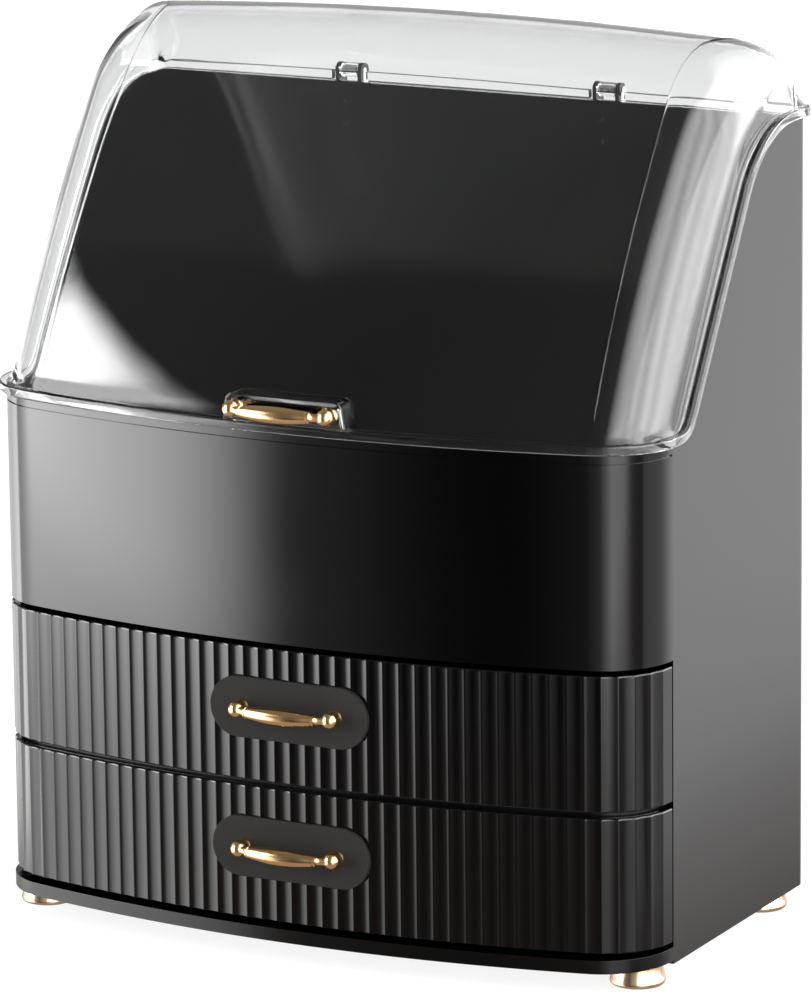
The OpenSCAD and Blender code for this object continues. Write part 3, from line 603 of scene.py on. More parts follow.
class ORGANIZER_OT_body(bpy.types.Operator):
    """Body shell with its curved rim, rounded edges and the fine groove under the front rim"""
    bl_idname = "organizer.body"
    bl_label = "Body shell"

    def execute(self, context):
        sizes = context.scene.organizer_sizes
        radius = sizes.rim_round * 1000
        right = steps(0, PLAN.bow_len, 56) + steps(PLAN.bow_len, PLAN.front_len, 22)
        right += [PLAN.front_len + FRONT_END]
        right += [PLAN.front_len + y for y, _ in (rim_point(0.0, i / 90) for i in range(1, 90))
                  if FRONT_END + 0.6 < y < SIDE - REAR_R - 0.5]
        right += [PLAN.side_end] + steps(PLAN.side_end, PLAN.rear_end, 5)
        right += steps(PLAN.rear_end, PLAN.back_end, 6)
        values = [0.0] + right + [-s for s in reversed(right[:-1])]

        bm = new_drawing("along")
        along = bm.verts.layers.float["along"]

        def level(z):
            return lambda v: (*PLAN.at(v[along]), z)

        def rim(v):
            x, y = PLAN.at(v[along])
            return x, y, rim_height(y)

        start = ring(bm, values, "along", level(WALL_Z))
        groove_z = RIM_Z - GROOVE_DROP
        top = pull(bm, start, level(groove_z - GROOVE_H))
        top = pull(bm, top, level(groove_z))
        pull(bm, top, rim)
        low = PLAN.front_len + FRONT_END - 0.01
        sides = [e for e in start if all(abs(v[along]) >= low for v in e.verts)]
        pull(bm, sides, level(FOOT_Z))
        bmesh.ops.recalc_face_normals(bm, faces=bm.faces)
        shell = as_object(bm, "organizer_body")
        wall = shell.modifiers.new("Wall", "SOLIDIFY")
        wall.thickness, wall.offset, wall.use_even_offset = WALL, -1.0, True
        settle(shell)

        bm = bmesh.new()
        bm.from_mesh(shell.data)
        bmesh.ops.recalc_face_normals(bm, faces=bm.faces)

        def in_groove(f):
            middle = f.calc_center_median()
            outwards = f.normal.dot(middle - Vector((0, 60, middle.z))) > 0
            return (groove_z - GROOVE_H - 0.05 < middle.z < groove_z + 0.05
                    and middle.y < -0.01 and f.normal.y < 0.2 and outwards)

        groove = [f for f in bm.faces if in_groove(f)]
        rims = sharp_edges(bm, 35)
        bmesh.ops.inset_region(bm, faces=groove, thickness=0.0, depth=-sizes.groove_depth * 1000,
                               use_boundary=True, use_even_offset=True)
        round_edges(bm, [e for e in rims if e.is_valid], radius)
        for ledge_z in (SHELF_LEDGE_Z, FLOOR_LEDGE_Z):
            band = new_drawing("along")
            mark = band.verts.layers.float["along"]

            def at(inset, z, mark=mark):
                return lambda v: (*PLAN.at(v[mark], inset), z)

            outer, inner = WALL - LEDGE_SUNK, WALL + LEDGE_OUT
            first = ring(band, values, "along", at(outer, ledge_z - LEDGE_T))
            second = pull(band, first, at(inner, ledge_z - LEDGE_T))
            third = pull(band, second, at(inner, ledge_z))
            pull(band, third, at(outer, ledge_z))
            if ledge_z == SHELF_LEDGE_Z:
                keep = PLAN.front_len + 2.0
                cut = [f for f in band.faces if any(abs(v[mark]) < keep for v in f.verts)]
                bmesh.ops.delete(band, geom=cut, context="FACES")
                bmesh.ops.holes_fill(band, edges=[e for e in band.edges if e.is_boundary], sides=0)
            piece = bpy.data.meshes.new("ledge")
            band.to_mesh(piece)
            band.free()
            bm.from_mesh(piece)
            bpy.data.meshes.remove(piece)
        bm.to_mesh(shell.data)
        bm.free()
        hand_over(shell, "housing", "body_shell", gloss_black())
        return {"FINISHED"}


class ORGANIZER_OT_base(bpy.types.Operator):
    """Base plate that stands a little ahead of the drawers, with a rounded front edge"""
    bl_idname = "organizer.base"
    bl_label = "Base plate"

    def execute(self, context):
        front = BodyPlan(BOW + BASE_PROUD, BASE_PROUD)
        end = front.front_len + BASE_PROUD + FRONT_END
        ahead = steps(0, front.bow_len, 60) + steps(front.bow_len, front.front_len, 24) + [end]
        behind = [PLAN.front_len + FRONT_END, PLAN.side_end] + steps(PLAN.side_end, PLAN.rear_end, 2)
        behind += [PLAN.back_end]
        points = [front.at(s) for s in [0.0] + ahead] + [PLAN.at(s, WALL + 0.02) for s in behind]
        points += [(-x, y) for x, y in reversed(points[1:-1])]
        bm = new_drawing("index")
        mark = bm.verts.layers.float["index"]
        ring(bm, list(range(len(points))), "index", lambda v: (*points[round(v[mark])], BASE_Z), cap=True)
        bmesh.ops.translate(bm, vec=(0, 0, BASE_TOP - BASE_Z), verts=raise_faces(bm))
        bmesh.ops.recalc_face_normals(bm, faces=bm.faces)
        lip = sharp_edges(bm, 35, lambda e: all(v.co.y < FRONT_END - 0.2 for v in e.verts))
        round_edges(bm, lip, 1.1, 4)
        for side in (-1, 1):
            block(bm, STRIP_SIZE, (side * STRIP_X, STRIP_Y, STRIP_Z))
        hand_over(as_object(bm, "organizer_base"), "housing", "base_plate", gloss_black())
        return {"FINISHED"}


class ORGANIZER_OT_fronts(bpy.types.Operator):
    """The two fluted drawer fronts"""
    bl_idname = "organizer.fronts"
    bl_label = "Drawer fronts"

    def execute(self, context):
        sizes = context.scene.organizer_sizes
        pitch, radius, land = (1000 * v for v in
                               (sizes.flute_pitch, sizes.flute_radius, sizes.flute_land))
        edge = sizes.front_round * 1000
        half = (pitch - land) / 2
        count = int(PLAN.front_len / pitch - 0.3)
        end = PLAN.end_of_front(-FRONT_END)

        def flute(s):
            i = int(abs(s) / pitch)
            u = abs(s) - (i + 0.5) * pitch
            if i >= count or abs(u) >= half:
                return 0.0
            r = PLAN.bow_r if (i + 0.5) * pitch <= PLAN.bow_len else CORNER_R
            return half * half / 2 * (1 / radius + 1 / r) * (1 - (u / half) ** 2)

        right = [land / 2 * 0.999]
        for i in range(count):
            right += [i * pitch + land / 2 + 2 * half * t
                      for t in (0.05, 0.15, 0.3, 0.5, 0.7, 0.85, 0.95, 1.0)]
            right += [(i + 1) * pitch, (i + 1) * pitch + land / 2]
        right = [s for s in right if s < end - 0.2] + [end]
        stations = [-s for s in reversed(right)] + [0.0] + right

        for drawer, z in FRONT_Z.items():
            outer = [(inset, z + h, 1.0) for inset, h in
                     [(edge - edge * math.sin(math.radians(a)), edge - edge * math.cos(math.radians(a)))
                      for a in (0, 22, 45, 67, 90)]]
            outer += [(inset, 2 * z + FRONT_H - h, w) for inset, h, w in reversed(outer)]
            loop = outer + [(FRONT_T - 0.3, z + FRONT_H, 0.0), (FRONT_T, z + FRONT_H - 0.3, 0.0),
                            (FRONT_T, z + 0.3, 0.0), (FRONT_T - 0.3, z, 0.0)]
            bm = new_drawing("index")
            mark = bm.verts.layers.float["index"]

            def station(s, loop=loop, mark=mark):
                def place(v):
                    inset, h, fluted = loop[round(v[mark])]
                    x, y = PLAN.at(s, inset + fluted * flute(s))
                    return x, min(y, -FRONT_END), h
                return place

            edges = ring(bm, list(range(len(loop))), "index", station(stations[0]), cap=True)
            for s in stations[1:]:
                edges = pull(bm, edges, station(s))
            bmesh.ops.contextual_create(bm, geom=edges)
            hand_over(as_object(bm, drawer + "_fluted_front"), drawer + "_drawer", drawer + "_front",
                      flute_black())
        return {"FINISHED"}


class ORGANIZER_OT_plates(bpy.types.Operator):
    """The round-ended plates behind the drawer handles"""
    bl_idname = "organizer.plates"
    bl_label = "Handle plates"

    def execute(self, context):
        for drawer, z in FRONT_Z.items():
            bm = bmesh.new()
            face = bmesh.ops.create_circle(bm, cap_ends=True, radius=PLATE_R, segments=PLATE_EDGES)["verts"]
            half_edge = math.radians(180 / PLATE_EDGES)
            bmesh.ops.rotate(bm, cent=(0, 0, 0), matrix=Matrix.Rotation(half_edge, 3, "Z"), verts=face)
            for v in face:
                v.co.x += math.copysign(PLATE_STRETCH, v.co.x)
            upright = Matrix.Rotation(math.radians(90), 3, "X")
            bmesh.ops.rotate(bm, cent=(0, 0, 0), matrix=upright, verts=face)
            bmesh.ops.translate(bm, vec=(0, -BOW - PLATE_PROUD, z + FRONT_H / 2 + GRIP_LIFT), verts=face)
            bmesh.ops.translate(bm, vec=(0, PLATE_T, 0), verts=raise_faces(bm))
            bmesh.ops.recalc_face_normals(bm, faces=bm.faces)
            lip = sharp_edges(bm, 35, lambda e: all(v.co.y < -BOW - PLATE_PROUD + 0.1 for v in e.verts))
            round_edges(bm, lip, 0.5, 3)
            hand_over(as_object(bm, drawer + "_plate"), drawer + "_drawer", drawer + "_handle_plate",
                      plate_grey())
        return {"FINISHED"}


def bar_stations(arch):
    """Half of a bar from its middle to the post: (x, reach ahead of the face, radius)."""
    half = [(0.0, 8.2, 3.65), (2.5, 8.17, 3.62), (5.0, 8.08, 3.5), (7.5, 7.92, 3.32), (10.0, 7.66, 3.07),
            (12.0, 7.36, 2.86), (13.6, 7.06, 2.7), (14.1, 6.96, 2.7), (14.25, 6.92, 2.35), (14.7, 6.82, 2.3),
            (14.85, 6.78, 2.6), (15.5, 6.62, 2.55), (15.75, 6.55, 2.1), (16.1, 6.45, 1.8), (17.2, 6.1, 1.72),
            (18.4, 5.6, 1.75), (19.6, 5.0, 1.95), (20.6, 4.5, 2.2)]
    bend, middle = arch / 1.8, half[0][1]
    return [(x, middle - (middle - reach) * bend, r) for x, reach, r in half]


class ORGANIZER_OT_handles(bpy.types.Operator):
    """The three arched spindle handles on round-ended posts"""
    bl_idname = "organizer.handles"
    bl_label = "Handles"

    def execute(self, context):
        look = context.scene.organizer_finish
        gold = metal("Handle gold", look.gold, look.gold_roughness, (0.12, 1, 1))
        half = bar_stations(context.scene.organizer_sizes.bar_arch * 1000)
        bar = [(-x, reach, r) for x, reach, r in reversed(half[1:])] + half
        places = [("lid", "lid", PAD_Y, LID_HANDLE_Z)]
        places += [(drawer, drawer + "_drawer", -BOW - PLATE_PROUD, z + FRONT_H / 2 + GRIP_LIFT)
                   for drawer, z in FRONT_Z.items()]
        for name, body, face, z in places:
            bm = new_drawing("turn")
            mark = bm.verts.layers.float["turn"]

            def station(i, mark=mark, face=face, z=z):
                x, reach, r = bar[i]
                a, b = bar[max(i - 1, 0)], bar[min(i + 1, len(bar) - 1)]
                lean = math.atan2(b[1] - a[1], b[0] - a[0])

                def place(v):
                    out, up = r * math.cos(v[mark]), r * math.sin(v[mark])
                    return x - out * math.sin(lean), face - reach - out * math.cos(lean), z + up
                return place

            turns = [2 * math.pi * i / 40 for i in range(40)]
            edges = ring(bm, turns, "turn", station(0), cap=True)
            for i in range(1, len(bar)):
                edges = pull(bm, edges, station(i))
            bmesh.ops.contextual_create(bm, geom=edges)
            for side in (-1, 1):
                profile = [(0.0, 0.0), (3.6, 0.0), (3.6, 0.5), (3.35, 0.8), (3.1, 1.6), (3.12, 2.2)]
                profile += [(r, h) for r, h in round_to(0.0, 3.9, 3.55, -28, 90, 12)]
                profile[-1] = (0.0, profile[-1][1])
                lathe(bm, profile, Matrix.Translation((side * POST_GAP / 2, face, z))
                      @ Matrix.Rotation(math.radians(90), 4, "X"), 48)
            hand_over(as_object(bm, name + "_grip"), body, name + "_handle", gold)
        return {"FINISHED"}


class ORGANIZER_OT_feet(bpy.types.Operator):
    """The four round metal feet"""
    bl_idname = "organizer.feet"
    bl_label = "Feet"

    def execute(self, context):
        look = context.scene.organizer_finish
        gold = metal("Foot gold", look.foot_gold, look.gold_roughness, (1, 1, 0.12))
        for end, y in FOOT_Y.items():
            for side, x in (("left", -FOOT_X), ("right", FOOT_X)):
                bm = bmesh.new()
                profile = [(8.2, 1.5), (8.2, 0.4), (9.2, 0.4)] + round_to(9.9, 1.9, 1.5, -90, 0, 6)[1:]
                profile += [(11.35, 2.6), (11.0, 3.6), (10.75, 4.6), (10.6, 5.6), (10.4, 6.6),
                            (10.2, 8.2), (10.1, BASE_Z), (0.0, BASE_Z)]
                lathe(bm, profile, Matrix.Translation((x, y, 0)), 72)
                name = f"{end}_{side}_foot"
                hand_over(as_object(bm, name + "_metal"), "housing", name, gold)
        return {"FINISHED"}


# ---------- lid ----------

def smooth_step(t):
    """0 to 1 with a soft start and end, and held outside."""
    t = min(max(t, 0.0), 1.0)
    return t * t * (3 - 2 * t)


CORNER_STEPS = 12
TOP_STEPS = 26
SECTION = 2 * CORNER_STEPS + TOP_STEPS + 7
BEAD_HALF = 0.45
SKIN_INSET = 0.25


def crown_path(inset, lift, tail):
    """Lid profile in the middle plane, drawn in, from lift above the seat to tail below its rear end."""
    close_y, close_z = SIDE + BOW - LID_BACK_R, LID_END_Z - SEAT_Z + LID_BACK_R
    front_y, front_z = math.sin(LID_LEAN) - math.sin(CROWN_LEAN), math.cos(CROWN_LEAN) - math.cos(LID_LEAN)
    top_z = 1 - math.cos(CROWN_LEAN)
    crown_r = (close_y * front_z - close_z * front_y) / (math.sin(CROWN_LEAN) * front_z - top_z * front_y)
    front_r = (close_z - crown_r * top_z) / front_z
    path = [((r - inset) * a, -1 / (r - inset)) for r, a in
            ((front_r, LID_LEAN - CROWN_LEAN), (crown_r, CROWN_LEAN), (LID_BACK_R, math.pi / 2))]
    start = (-BOW + inset * math.sin(LID_LEAN), SEAT_Z - inset * math.cos(LID_LEAN))
    skip = (lift + inset * math.cos(LID_LEAN)) / math.sin(LID_LEAN)
    return path + [(tail, 0)], start, skip


def crown_point(crown, t):
    """(y, z) a share t of the way along a crown path."""
    path, start, skip = crown
    return walk(path, skip + t * (sum(length for length, _ in path) - skip), start, LID_LEAN)


def section(h, w, r, bow, bead=0.0):
    """Arched section of the lid, from its right foot to its left: (x, height, sideways and upward normal).

    A fine bead runs where each round corner meets the wide bow."""
    c = w - r
    b = max(bow, c * c / (0.6 * h))
    t = math.asin(c / (b - r))
    cy = h - b + (b - r) * math.cos(t)
    end = math.pi / 2 - t
    near, past = max(end - BEAD_HALF / r, end * 0.97), t - min(BEAD_HALF / b, t / TOP_STEPS)
    right = [(c + r * math.cos(a), cy + r * math.sin(a), math.cos(a), math.sin(a))
             for a in [end * i / CORNER_STEPS for i in range(CORNER_STEPS)] + [near]]
    right += [(c + (r + bead) * math.cos(end), cy + (r + bead) * math.sin(end), math.cos(end), math.sin(end))]
    right += [(b * math.sin(past), h - b + b * math.cos(past), math.sin(past), math.cos(past))]
    top = [(b * math.sin(a), h - b + b * math.cos(a), math.sin(a), math.cos(a))
           for a in (t - 2 * t * i / TOP_STEPS for i in range(1, TOP_STEPS))]
    left = [(-x, k, -nx, nk) for x, k, nx, nk in reversed(right)]
    return [(w, 0.0, 1.0, 0.0)] + right + top + left + [(-w, 0.0, -1.0, 0.0)]


def lid_rows(count, inset, lift, tail, bead=0.0):
    """Rows of points over the lid, from the front to the back."""
    crown = crown_path(inset, lift, tail)
    rows = []
    for i in range(count + 1):
        v = i / count
        sy, sz = rim_point(-SEAT_GAP - lift, v, SIDE - inset)
        qy, qz = crown_point(crown, v)
        h = max(math.hypot(qy - sy, qz - sz), 0.05)
        uy, uz = ((qy - sy) / h, (qz - sz) / h) if h > 0.06 else (0.0, 1.0)
        r = min(CORNER_R + (LID_REAR_R - CORNER_R) * smooth_step((v - 0.72) / 0.2), 0.68 * (h + inset))
        r = max(r - inset, min(0.5, 0.6 * h))
        bow = 1 / ((1 - v) / PLAN.bow_r + v / (10 * PLAN.bow_r)) - inset
        ridge = bead * smooth_step(v / 0.06) * smooth_step((0.86 - v) / 0.08)
        rows.append([(x, sy + uy * k, sz + uz * k)
                     for x, k, _, _ in section(h, HALF_W - inset, r, bow, ridge)])
    return rows


def flange_points(count, lift):
    """Points of the flange's outer edge: {(row, column): place}."""
    places = {}
    front = section(BOW, HALF_W, CORNER_R, PLAN.bow_r)
    for j, (x, k, nx, nk) in enumerate(front):
        places[0, j] = (x + FLANGE_OUT * nx, -k - FLANGE_OUT * nk, SEAT_Z + lift)
    for i in range(count + 1):
        y, z = rim_point(-SEAT_GAP - lift, i / count)
        for j, side in ((0, 1), (SECTION - 1, -1)):
            places[i, j] = (side * (HALF_W + FLANGE_OUT), y if i < count else SIDE + FLANGE_OUT, z)
    z = rim_point(-SEAT_GAP - lift, 1.0)[1]
    rear = lid_rows(count, 0.0, FLANGE_T, 0.0)[count]
    for j in range(1, SECTION - 1):
        places[count, j] = (rear[j][0] * (HALF_W + FLANGE_OUT) / HALF_W, SIDE + FLANGE_OUT, z)
    for key, (x, y, z) in places.items():
        over = Vector((abs(x) - (HALF_W - REAR_R), y - (SIDE - REAR_R)))
        if over.x > 0 and over.y > 0 and over.length > REAR_R + FLANGE_OUT:
            over = over.normalized() * (REAR_R + FLANGE_OUT)
            places[key] = (math.copysign(HALF_W - REAR_R + over.x, x), SIDE - REAR_R + over.y, z)
    return places


def pad_outline(inset, foot_z):
    """Front view of the handle pad, drawn in, as (x, z) points from its right foot over to its left."""
    r, h = PAD_R - inset, PAD_H - inset
    foot = PAD_W / 2 - inset / math.cos(PAD_LEAN)
    x = foot - (h - r) * math.tan(PAD_LEAN) - r / math.cos(PAD_LEAN)
    arc = [(x + r * math.cos(a), SEAT_Z + h - r + r * math.sin(a))
           for a in (PAD_LEAN + (math.pi / 2 - PAD_LEAN) * i / 8 for i in range(9))]
    right = [(foot - (foot_z - SEAT_Z) * math.tan(PAD_LEAN), foot_z)] + arc
    return right + [(-px, pz) for px, pz in reversed(right)]


def pad_block(inset, foot_z, front_y, depth, rounding=0.0):
    """Block with the pad's outline, whose back leans with the lid's front."""
    outline = pad_outline(inset, foot_z)
    bm = new_drawing("index")
    mark = bm.verts.layers.float["index"]

    def at(v):
        x, z = outline[round(v[mark])]
        return x, front_y, z

    ring(bm, list(range(len(outline))), "index", at, cap=True)
    for v in raise_faces(bm):
        v.co.y = -BOW + (v.co.z - SEAT_Z) / math.tan(LID_LEAN) + depth
    bmesh.ops.recalc_face_normals(bm, faces=bm.faces)
    if rounding:
        lip = sharp_edges(bm, 30, lambda e: all(v.co.y < front_y + 0.1 for v in e.verts)
                          and max(v.co.z for v in e.verts) > foot_z + 0.1)
        round_edges(bm, lip, rounding, 3)
    return bm


class ORGANIZER_OT_lid(bpy.types.Operator):
    """Clear domed lid with its rim flange, hollow handle pad and hinge knuckles"""
    bl_idname = "organizer.lid"
    bl_label = "Clear lid"

    def execute(self, context):
        count = context.scene.organizer_sizes.lid_rows
        bm = new_drawing("row", "column")
        row, column = bm.verts.layers.float["row"], bm.verts.layers.float["column"]

        def sheet(rows):
            verts = bmesh.ops.create_grid(bm, x_segments=SECTION - 1, y_segments=count, size=1.0)["verts"]
            for v in verts:
                v[row] = round((v.co.y + 1) / 2 * count)
                v[column] = round((v.co.x + 1) / 2 * (SECTION - 1))
                v.co = rows[int(v[row])][int(v[column])]
            return verts

        bead = context.scene.organizer_sizes.lid_bead * 1000
        outer = set(sheet(lid_rows(count, SKIN_INSET, FLANGE_T, 0.0, bead)))
        edge = [e for e in bm.edges if e.is_boundary and set(e.verts) <= outer]
        inside = lid_rows(count, LID_T, 0.0, FLANGE_T)
        top, bottom = flange_points(count, FLANGE_T), flange_points(count, 0.0)
        edge = pull(bm, edge, lambda v: top[int(v[row]), int(v[column])])
        edge = pull(bm, edge, lambda v: bottom[int(v[row]), int(v[column])])
        pull(bm, edge, lambda v: inside[int(v[row])][int(v[column])])
        sheet(inside)
        bmesh.ops.remove_doubles(bm, verts=bm.verts, dist=0.004)
        bmesh.ops.dissolve_degenerate(bm, edges=bm.edges, dist=0.002)
        bmesh.ops.recalc_face_normals(bm, faces=bm.faces)
        out = HALF_W + FLANGE_OUT

        def on_flange(v):
            x, y = abs(v.co.x), v.co.y
            if y > 0:
                return abs(x - out) < 0.01 or y > SIDE + 0.5 or (y > SIDE - 3.5 and x > HALF_W + 0.5)
            return v.co.z < SEAT_Z + FLANGE_T + 0.01 and min(
                abs(math.hypot(x - CORNER_X, y) - CORNER_R - FLANGE_OUT),
                abs(math.hypot(x, y - PLAN.bow_y) - PLAN.bow_r - FLANGE_OUT)) < 0.02

        lips = sharp_edges(bm, 50, lambda e: all(on_flange(v) for v in e.verts))
        round_edges(bm, lips, 0.8, 3)
        shell = as_object(bm, "organizer_lid")

        cut_or_join(shell, pad_block(0.0, SEAT_Z + 0.4, PAD_Y, 1.5, 0.7), "UNION")
        cut_or_join(shell, pad_block(LID_T, SEAT_Z + FLANGE_T, PAD_Y + LID_T, 8.0), "DIFFERENCE")
        for side in (-1, 1):
            x = side * HINGE_X
            axis = (x, HINGE_Y, HINGE_Z)
            notch = block(bmesh.new(), (15.1, 4.0, 6.0), (x, SIDE + 2.02, BACK_Z + 2.3))
            knuckle = turned_tool([(0, -4.05), (3.0, -4.05), (3.4, -3.65), (3.4, 3.65), (3.0, 4.05),
                                   (0, 4.05)], axis, "Y", 90, 48)
            lug = block(bmesh.new(), (7.9, 4.9, 3.0), (x, SIDE + 1.2, BACK_Z + 4.6))
            bore = turned_tool([(0, -6), (1.55, -6), (1.55, 6), (0, 6)], axis, "Y", 90, 32)
            hole = turned_tool([(0, -1), (1.5, -1), (1.5, 4), (0, 4)],
                               (side * POST_GAP / 2, PAD_Y, LID_HANDLE_Z), "X", -90, 32)
            for tool, operation in ((notch, "DIFFERENCE"), (knuckle, "UNION"), (lug, "UNION"),
                                    (bore, "DIFFERENCE"), (hole, "DIFFERENCE")):
                cut_or_join(shell, tool, operation)
        hand_over(shell, "lid", "lid_cover", clear_plastic(), sharp=38)
        return {"FINISHED"}


class ORGANIZER_OT_inner_pieces(bpy.types.Operator):
    """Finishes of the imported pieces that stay: decks, trays, hinges, screws and pads"""
    bl_idname = "organizer.inner_pieces"
    bl_label = "Inner pieces"

    def execute(self, context):
        steel = metal("Steel", (0.56, 0.56, 0.57), 0.3, (1, 1, 1))
        finishes = (
            (inner_black(), ("display_floor", "drawer_shelf", "upper_tray", "lower_tray")),
            (gloss_black(), ("left_hinge_bracket", "right_hinge_bracket")),
            (rubber(), ("foot_pads",)),
            (steel, ("base_screws", "shelf_screws", "floor_screws", "foot_screws", "hinge_pins",
                     "hinge_screws", "lid_handle_screws", "upper_handle_screws", "lower_handle_screws")),
        )
        for finish, names in finishes:
            for name in names:
                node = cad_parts[name]
                if not node.material_slots:
                    node.data.materials.append(finish)
                for slot in node.material_slots:
                    slot.material = finish
        return {"FINISHED"}


# ---------- stage ----------

# Brightness of the room that the gloss mirrors, by degrees to the right of the front: level with the body
# and below, from there up, and higher still. LEVELS gives the heights, in degrees, between which each takes
# over from the one before; the room goes dark overhead and far below.
LOW_ROOM = [(-180, 3.2), (-150, 3.0), (-135, 1.0), (-110, 2.5), (-81, 8.4), (-57, 11.4), (-50, 9.6),
            (-41, 7.4), (-36, 5.0), (-33.5, 3.3), (-31, 1.3), (-29.5, 0.6), (-27.4, 0.3), (-22.6, 0.24),
            (-18, 0.1), (-12, 0.02), (-6, 0.01), (-2, 0.09), (5, 0.25), (20, 0.5), (30, 1.8), (38, 3.25),
            (57, 2.84), (70, 0.8), (80, 0.6), (97, 0.95), (122, 1.0), (140, 1.6), (152, 1.72), (160, 1.8),
            (168, 3.4), (180, 3.4)]
HIGH_ROOM = [(-180, 0.4), (-120, 0.3), (-76, 0.6), (-66, 13.0), (-46, 13.0), (-42, 0.6), (-30, 0.2),
             (-8, 0.1), (0, 0.3), (20, 0.5), (32, 4.0), (48, 6.5), (56, 4.4), (64, 7.0), (72, 5.0),
             (84, 8.4), (92, 6.2), (104, 8.0), (116, 6.2), (130, 8.4), (150, 6.0), (180, 1.5)]
TOP_ROOM = [(-180, 0.3), (-60, 0.2), (-30, 0.15), (0, 0.2), (24, 0.3), (40, 3.6), (56, 5.2), (64, 3.8),
            (76, 6.0), (88, 4.0), (100, 5.4), (120, 3.6), (150, 2.4), (180, 0.8)]
LEVELS = {"high": (-7, 3), "top": (30.5, 34), "overhead": (58, 70), "below": (-24, -40)}
OVERHEAD = 0.02
BELOW = 0.09
ROOM_GAIN = 10.0
BACKDROP = 1.02
# Share of that room which a reflection in the floor keeps, by distance from the body, in metres; the rest is
# a painted shadow, a dim warm glow that stands in for the floor's shade near the body
PAINTED_SHADOW_AHEAD = [(0.0, 0.3), (0.1, 0.33), (0.18, 0.4), (0.25, 0.5), (0.36, 0.66), (0.43, 0.86), (0.52, 1.0)]
PAINTED_SHADOW_ASIDE = [(0.0, 0.25), (0.08, 0.5), (0.14, 0.76), (0.2, 0.88), (0.273, 0.96), (0.378, 1.0), (0.63, 1.0)]


def grey_ramp(tree, factor, stops):
    """Colour ramp of greys over a factor, from (place, value) stops."""
    node = put(tree, "ShaderNodeValToRGB")
    ramp = node.color_ramp
    ramp.interpolation = "LINEAR"
    while len(ramp.elements) > 1:
        ramp.elements.remove(ramp.elements[-1])
    for n, (place, shade) in enumerate(stops):
        element = ramp.elements[0] if n == 0 else ramp.elements.new(place)
        element.position = place
        element.color = (shade, shade, shade, 1)
    tree.links.new(factor, node.inputs["Fac"])
    return node.outputs["Color"]


def room_ramp(tree, turn, stops):
    """Ramp of the room's brightness over the turn about the upright axis."""
    return grey_ramp(tree, turn, [((degrees + 180) / 360, value / ROOM_GAIN) for degrees, value in stops])


def math_node(tree, operation, *values):
    """Math node fed by numbers and sockets; gives its result."""
    node = put(tree, "ShaderNodeMath", operation=operation)
    for socket, value in zip(node.inputs, values):
        if isinstance(value, (int, float)):
            socket.default_value = value
        else:
            tree.links.new(value, socket)
    return node.outputs[0]


def blend_by(tree, factor, a, b):
    """Blend of two colours, each a socket or a grey, by a factor; gives its result."""
    node = put(tree, "ShaderNodeMix", data_type="RGBA")
    for socket, value in ((node.inputs[0], factor), (node.inputs[6], a), (node.inputs[7], b)):
        if isinstance(value, float):
            socket.default_value = (value, value, value, 1)
        else:
            tree.links.new(value, socket)
    return node.outputs[2]


def choose(tree, kind, *inputs):
    """Node that joins shaders, with its inputs linked in order; gives its result."""
    node = put(tree, kind)
    for source, socket in zip(inputs, node.inputs):
        tree.links.new(source, socket)
    return node.outputs[0]


def rise(tree, value, low, high):
    """0 at low, 1 at high, held beyond them and smooth between."""
    node = put(tree, "ShaderNodeMapRange", interpolation_type="SMOOTHSTEP", clamp=True, From_Min=low,
               From_Max=high)
    tree.links.new(value, node.inputs["Value"])
    return node.outputs[0]


def lay_floor(view):
    """Pale floor that glows faintly. The gloss sees the room through it, darkened near the body by a painted
    shadow: a dim warm glow in place of the room.
    """
    bm = bmesh.new()
    bmesh.ops.create_grid(bm, x_segments=1, y_segments=1, size=9.0)
    floor = as_object(bm, "floor")
    material = bpy.data.materials.new("Pale floor")
    tree = empty_tree(material)
    matt = put(tree, "ShaderNodeBsdfDiffuse", Color=(*view.floor, 1))
    glow = put(tree, "ShaderNodeEmission", Color=(1, 1, 1, 1), Strength=0.88)
    plain = choose(tree, "ShaderNodeAddShader", matt.outputs[0], glow.outputs[0])
    apart = put(tree, "ShaderNodeSeparateXYZ")
    tree.links.new(put(tree, "ShaderNodeTexCoord").outputs["Object"], apart.inputs[0])
    aside = math_node(tree, "SUBTRACT", math_node(tree, "ABSOLUTE", apart.outputs[0]), 0.15)
    ahead = math_node(tree, "SUBTRACT", math_node(tree, "MULTIPLY", apart.outputs[1], -1.0), 0.085)
    # share of the room that the gloss sees in the floor; the rest goes to the painted shadow near the body
    unshaded_share = blend_by(tree, math_node(tree, "GREATER_THAN", ahead, 0.0),
                    grey_ramp(tree, aside, PAINTED_SHADOW_ASIDE), grey_ramp(tree, ahead, PAINTED_SHADOW_AHEAD))
    # painted shadow: a dim warm glow that glossy rays see in the floor near the body, standing in for the
    # floor's shade
    painted_shadow = put(tree, "ShaderNodeEmission", Color=(1.0, 0.66, 0.55, 1), Strength=0.16)
    through = put(tree, "ShaderNodeBsdfTransparent")
    mirrored = choose(tree, "ShaderNodeMixShader", unshaded_share, painted_shadow.outputs[0], through.outputs[0])
    glossy = put(tree, "ShaderNodeLightPath").outputs["Is Glossy Ray"]
    end_tree(tree, "ShaderNodeOutputMaterial", choose(tree, "ShaderNodeMixShader", glossy, plain, mirrored))
    floor.data.materials.append(material)


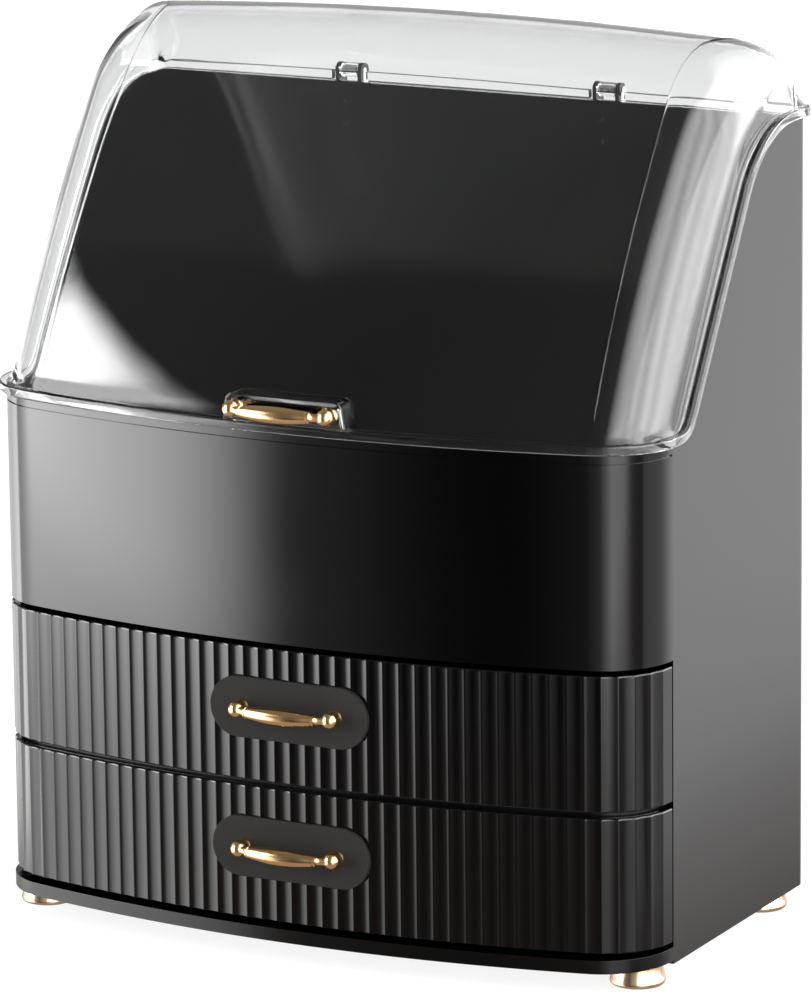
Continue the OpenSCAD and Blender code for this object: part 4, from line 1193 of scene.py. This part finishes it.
def light_room(scene, view):
    """Plain white backdrop for the camera, and a studio room of soft lights for everything it bounces off."""
    scene.world = bpy.data.worlds.new("Studio")
    tree = empty_tree(scene.world)
    apart = put(tree, "ShaderNodeSeparateXYZ")
    tree.links.new(put(tree, "ShaderNodeTexCoord").outputs["Generated"], apart.inputs[0])
    x, y, z = apart.outputs
    around = math_node(tree, "ARCTAN2", x, math_node(tree, "MULTIPLY", y, -1.0))
    turn = math_node(tree, "MULTIPLY_ADD", around, 0.5 / math.pi, 0.5)
    lift = math_node(tree, "ARCSINE", z)
    room, high, top = (room_ramp(tree, turn, stops) for stops in (LOW_ROOM, HIGH_ROOM, TOP_ROOM))
    for level, other in (("high", high), ("top", top), ("overhead", OVERHEAD), ("below", BELOW)):
        room = blend_by(tree, rise(tree, lift, *map(math.radians, LEVELS[level])), room, other)
    path = put(tree, "ShaderNodeLightPath")
    depth = math_node(tree, "ADD", path.outputs["Glossy Depth"], path.outputs["Diffuse Depth"])
    bounced = math_node(tree, "GREATER_THAN", depth, 0.5)
    glow = put(tree, "ShaderNodeBackground", Strength=ROOM_GAIN * view.light)
    tree.links.new(blend_by(tree, bounced, BACKDROP / ROOM_GAIN / view.light, room), glow.inputs["Color"])
    end_tree(tree, "ShaderNodeOutputWorld", glow.outputs[0])


def place_camera(scene, view):
    """Camera at an angle and distance from the aiming point, rolled a little."""
    az, el = view.azimuth, view.elevation
    away = Vector((math.sin(az) * math.cos(el), -math.cos(az) * math.cos(el), math.sin(el)))
    right = Vector((math.cos(az), math.sin(az), 0))
    up = away.cross(right)
    across = right * math.cos(view.roll) + up * math.sin(view.roll)
    upward = up * math.cos(view.roll) - right * math.sin(view.roll)
    data = bpy.data.cameras.new("camera")
    data.lens, data.sensor_width, data.sensor_fit = view.lens, 36.0, "AUTO"
    data.clip_start, data.clip_end = 0.1, 50.0
    camera = bpy.data.objects.new("camera", data)
    scene.collection.objects.link(camera)
    turned = Matrix((across, upward, away)).transposed().to_4x4()
    camera.matrix_world = Matrix.Translation(Vector(view.aim) + away * view.distance) @ turned
    scene.camera = camera


class ORGANIZER_OT_stage(bpy.types.Operator):
    """Pale floor, soft studio light and the camera"""
    bl_idname = "organizer.stage"
    bl_label = "Stage"

    def execute(self, context):
        scene = context.scene
        scene.view_settings.view_transform = "Standard"
        lay_floor(scene.organizer_stage)
        light_room(scene, scene.organizer_stage)
        place_camera(scene, scene.organizer_stage)
        return {"FINISHED"}


class ORGANIZER_PT_panel(bpy.types.Panel):
    """Settings and pieces of the organizer"""
    bl_idname = "ORGANIZER_PT_panel"
    bl_label = "Makeup organizer"
    bl_space_type = "VIEW_3D"
    bl_region_type = "UI"
    bl_category = "Organizer"

    def draw(self, context):
        for name, kind in SETTINGS:
            box = self.layout.box()
            for value in kind.__annotations__:
                box.prop(getattr(context.scene, name), value)
        for operator in OPERATORS:
            self.layout.operator(operator.bl_idname)


OPERATORS = (ORGANIZER_OT_body, ORGANIZER_OT_base, ORGANIZER_OT_fronts, ORGANIZER_OT_plates,
             ORGANIZER_OT_handles, ORGANIZER_OT_feet, ORGANIZER_OT_lid, ORGANIZER_OT_inner_pieces,
             ORGANIZER_OT_stage)
SETTINGS = (("organizer_sizes", OrganizerSizes), ("organizer_finish", OrganizerFinish),
            ("organizer_stage", OrganizerStage))


def register():
    for _, group in SETTINGS:
        bpy.utils.register_class(group)
    for cls in OPERATORS + (ORGANIZER_PT_panel,):
        bpy.utils.register_class(cls)
    for name, group in SETTINGS:
        setattr(bpy.types.Scene, name, PointerProperty(type=group))


def unregister():
    for name, _ in SETTINGS:
        delattr(bpy.types.Scene, name)
    for cls in (ORGANIZER_PT_panel,) + OPERATORS[::-1]:
        bpy.utils.unregister_class(cls)
    for _, group in SETTINGS[::-1]:
        bpy.utils.unregister_class(group)


def main():
    register()
    bpy.ops.organizer.body()
    bpy.ops.organizer.base()
    bpy.ops.organizer.fronts()
    bpy.ops.organizer.plates()
    bpy.ops.organizer.handles()
    bpy.ops.organizer.feet()
    bpy.ops.organizer.lid()
    bpy.ops.organizer.inner_pieces()
    bpy.ops.organizer.stage()


if __name__ == "__main__":
    main()
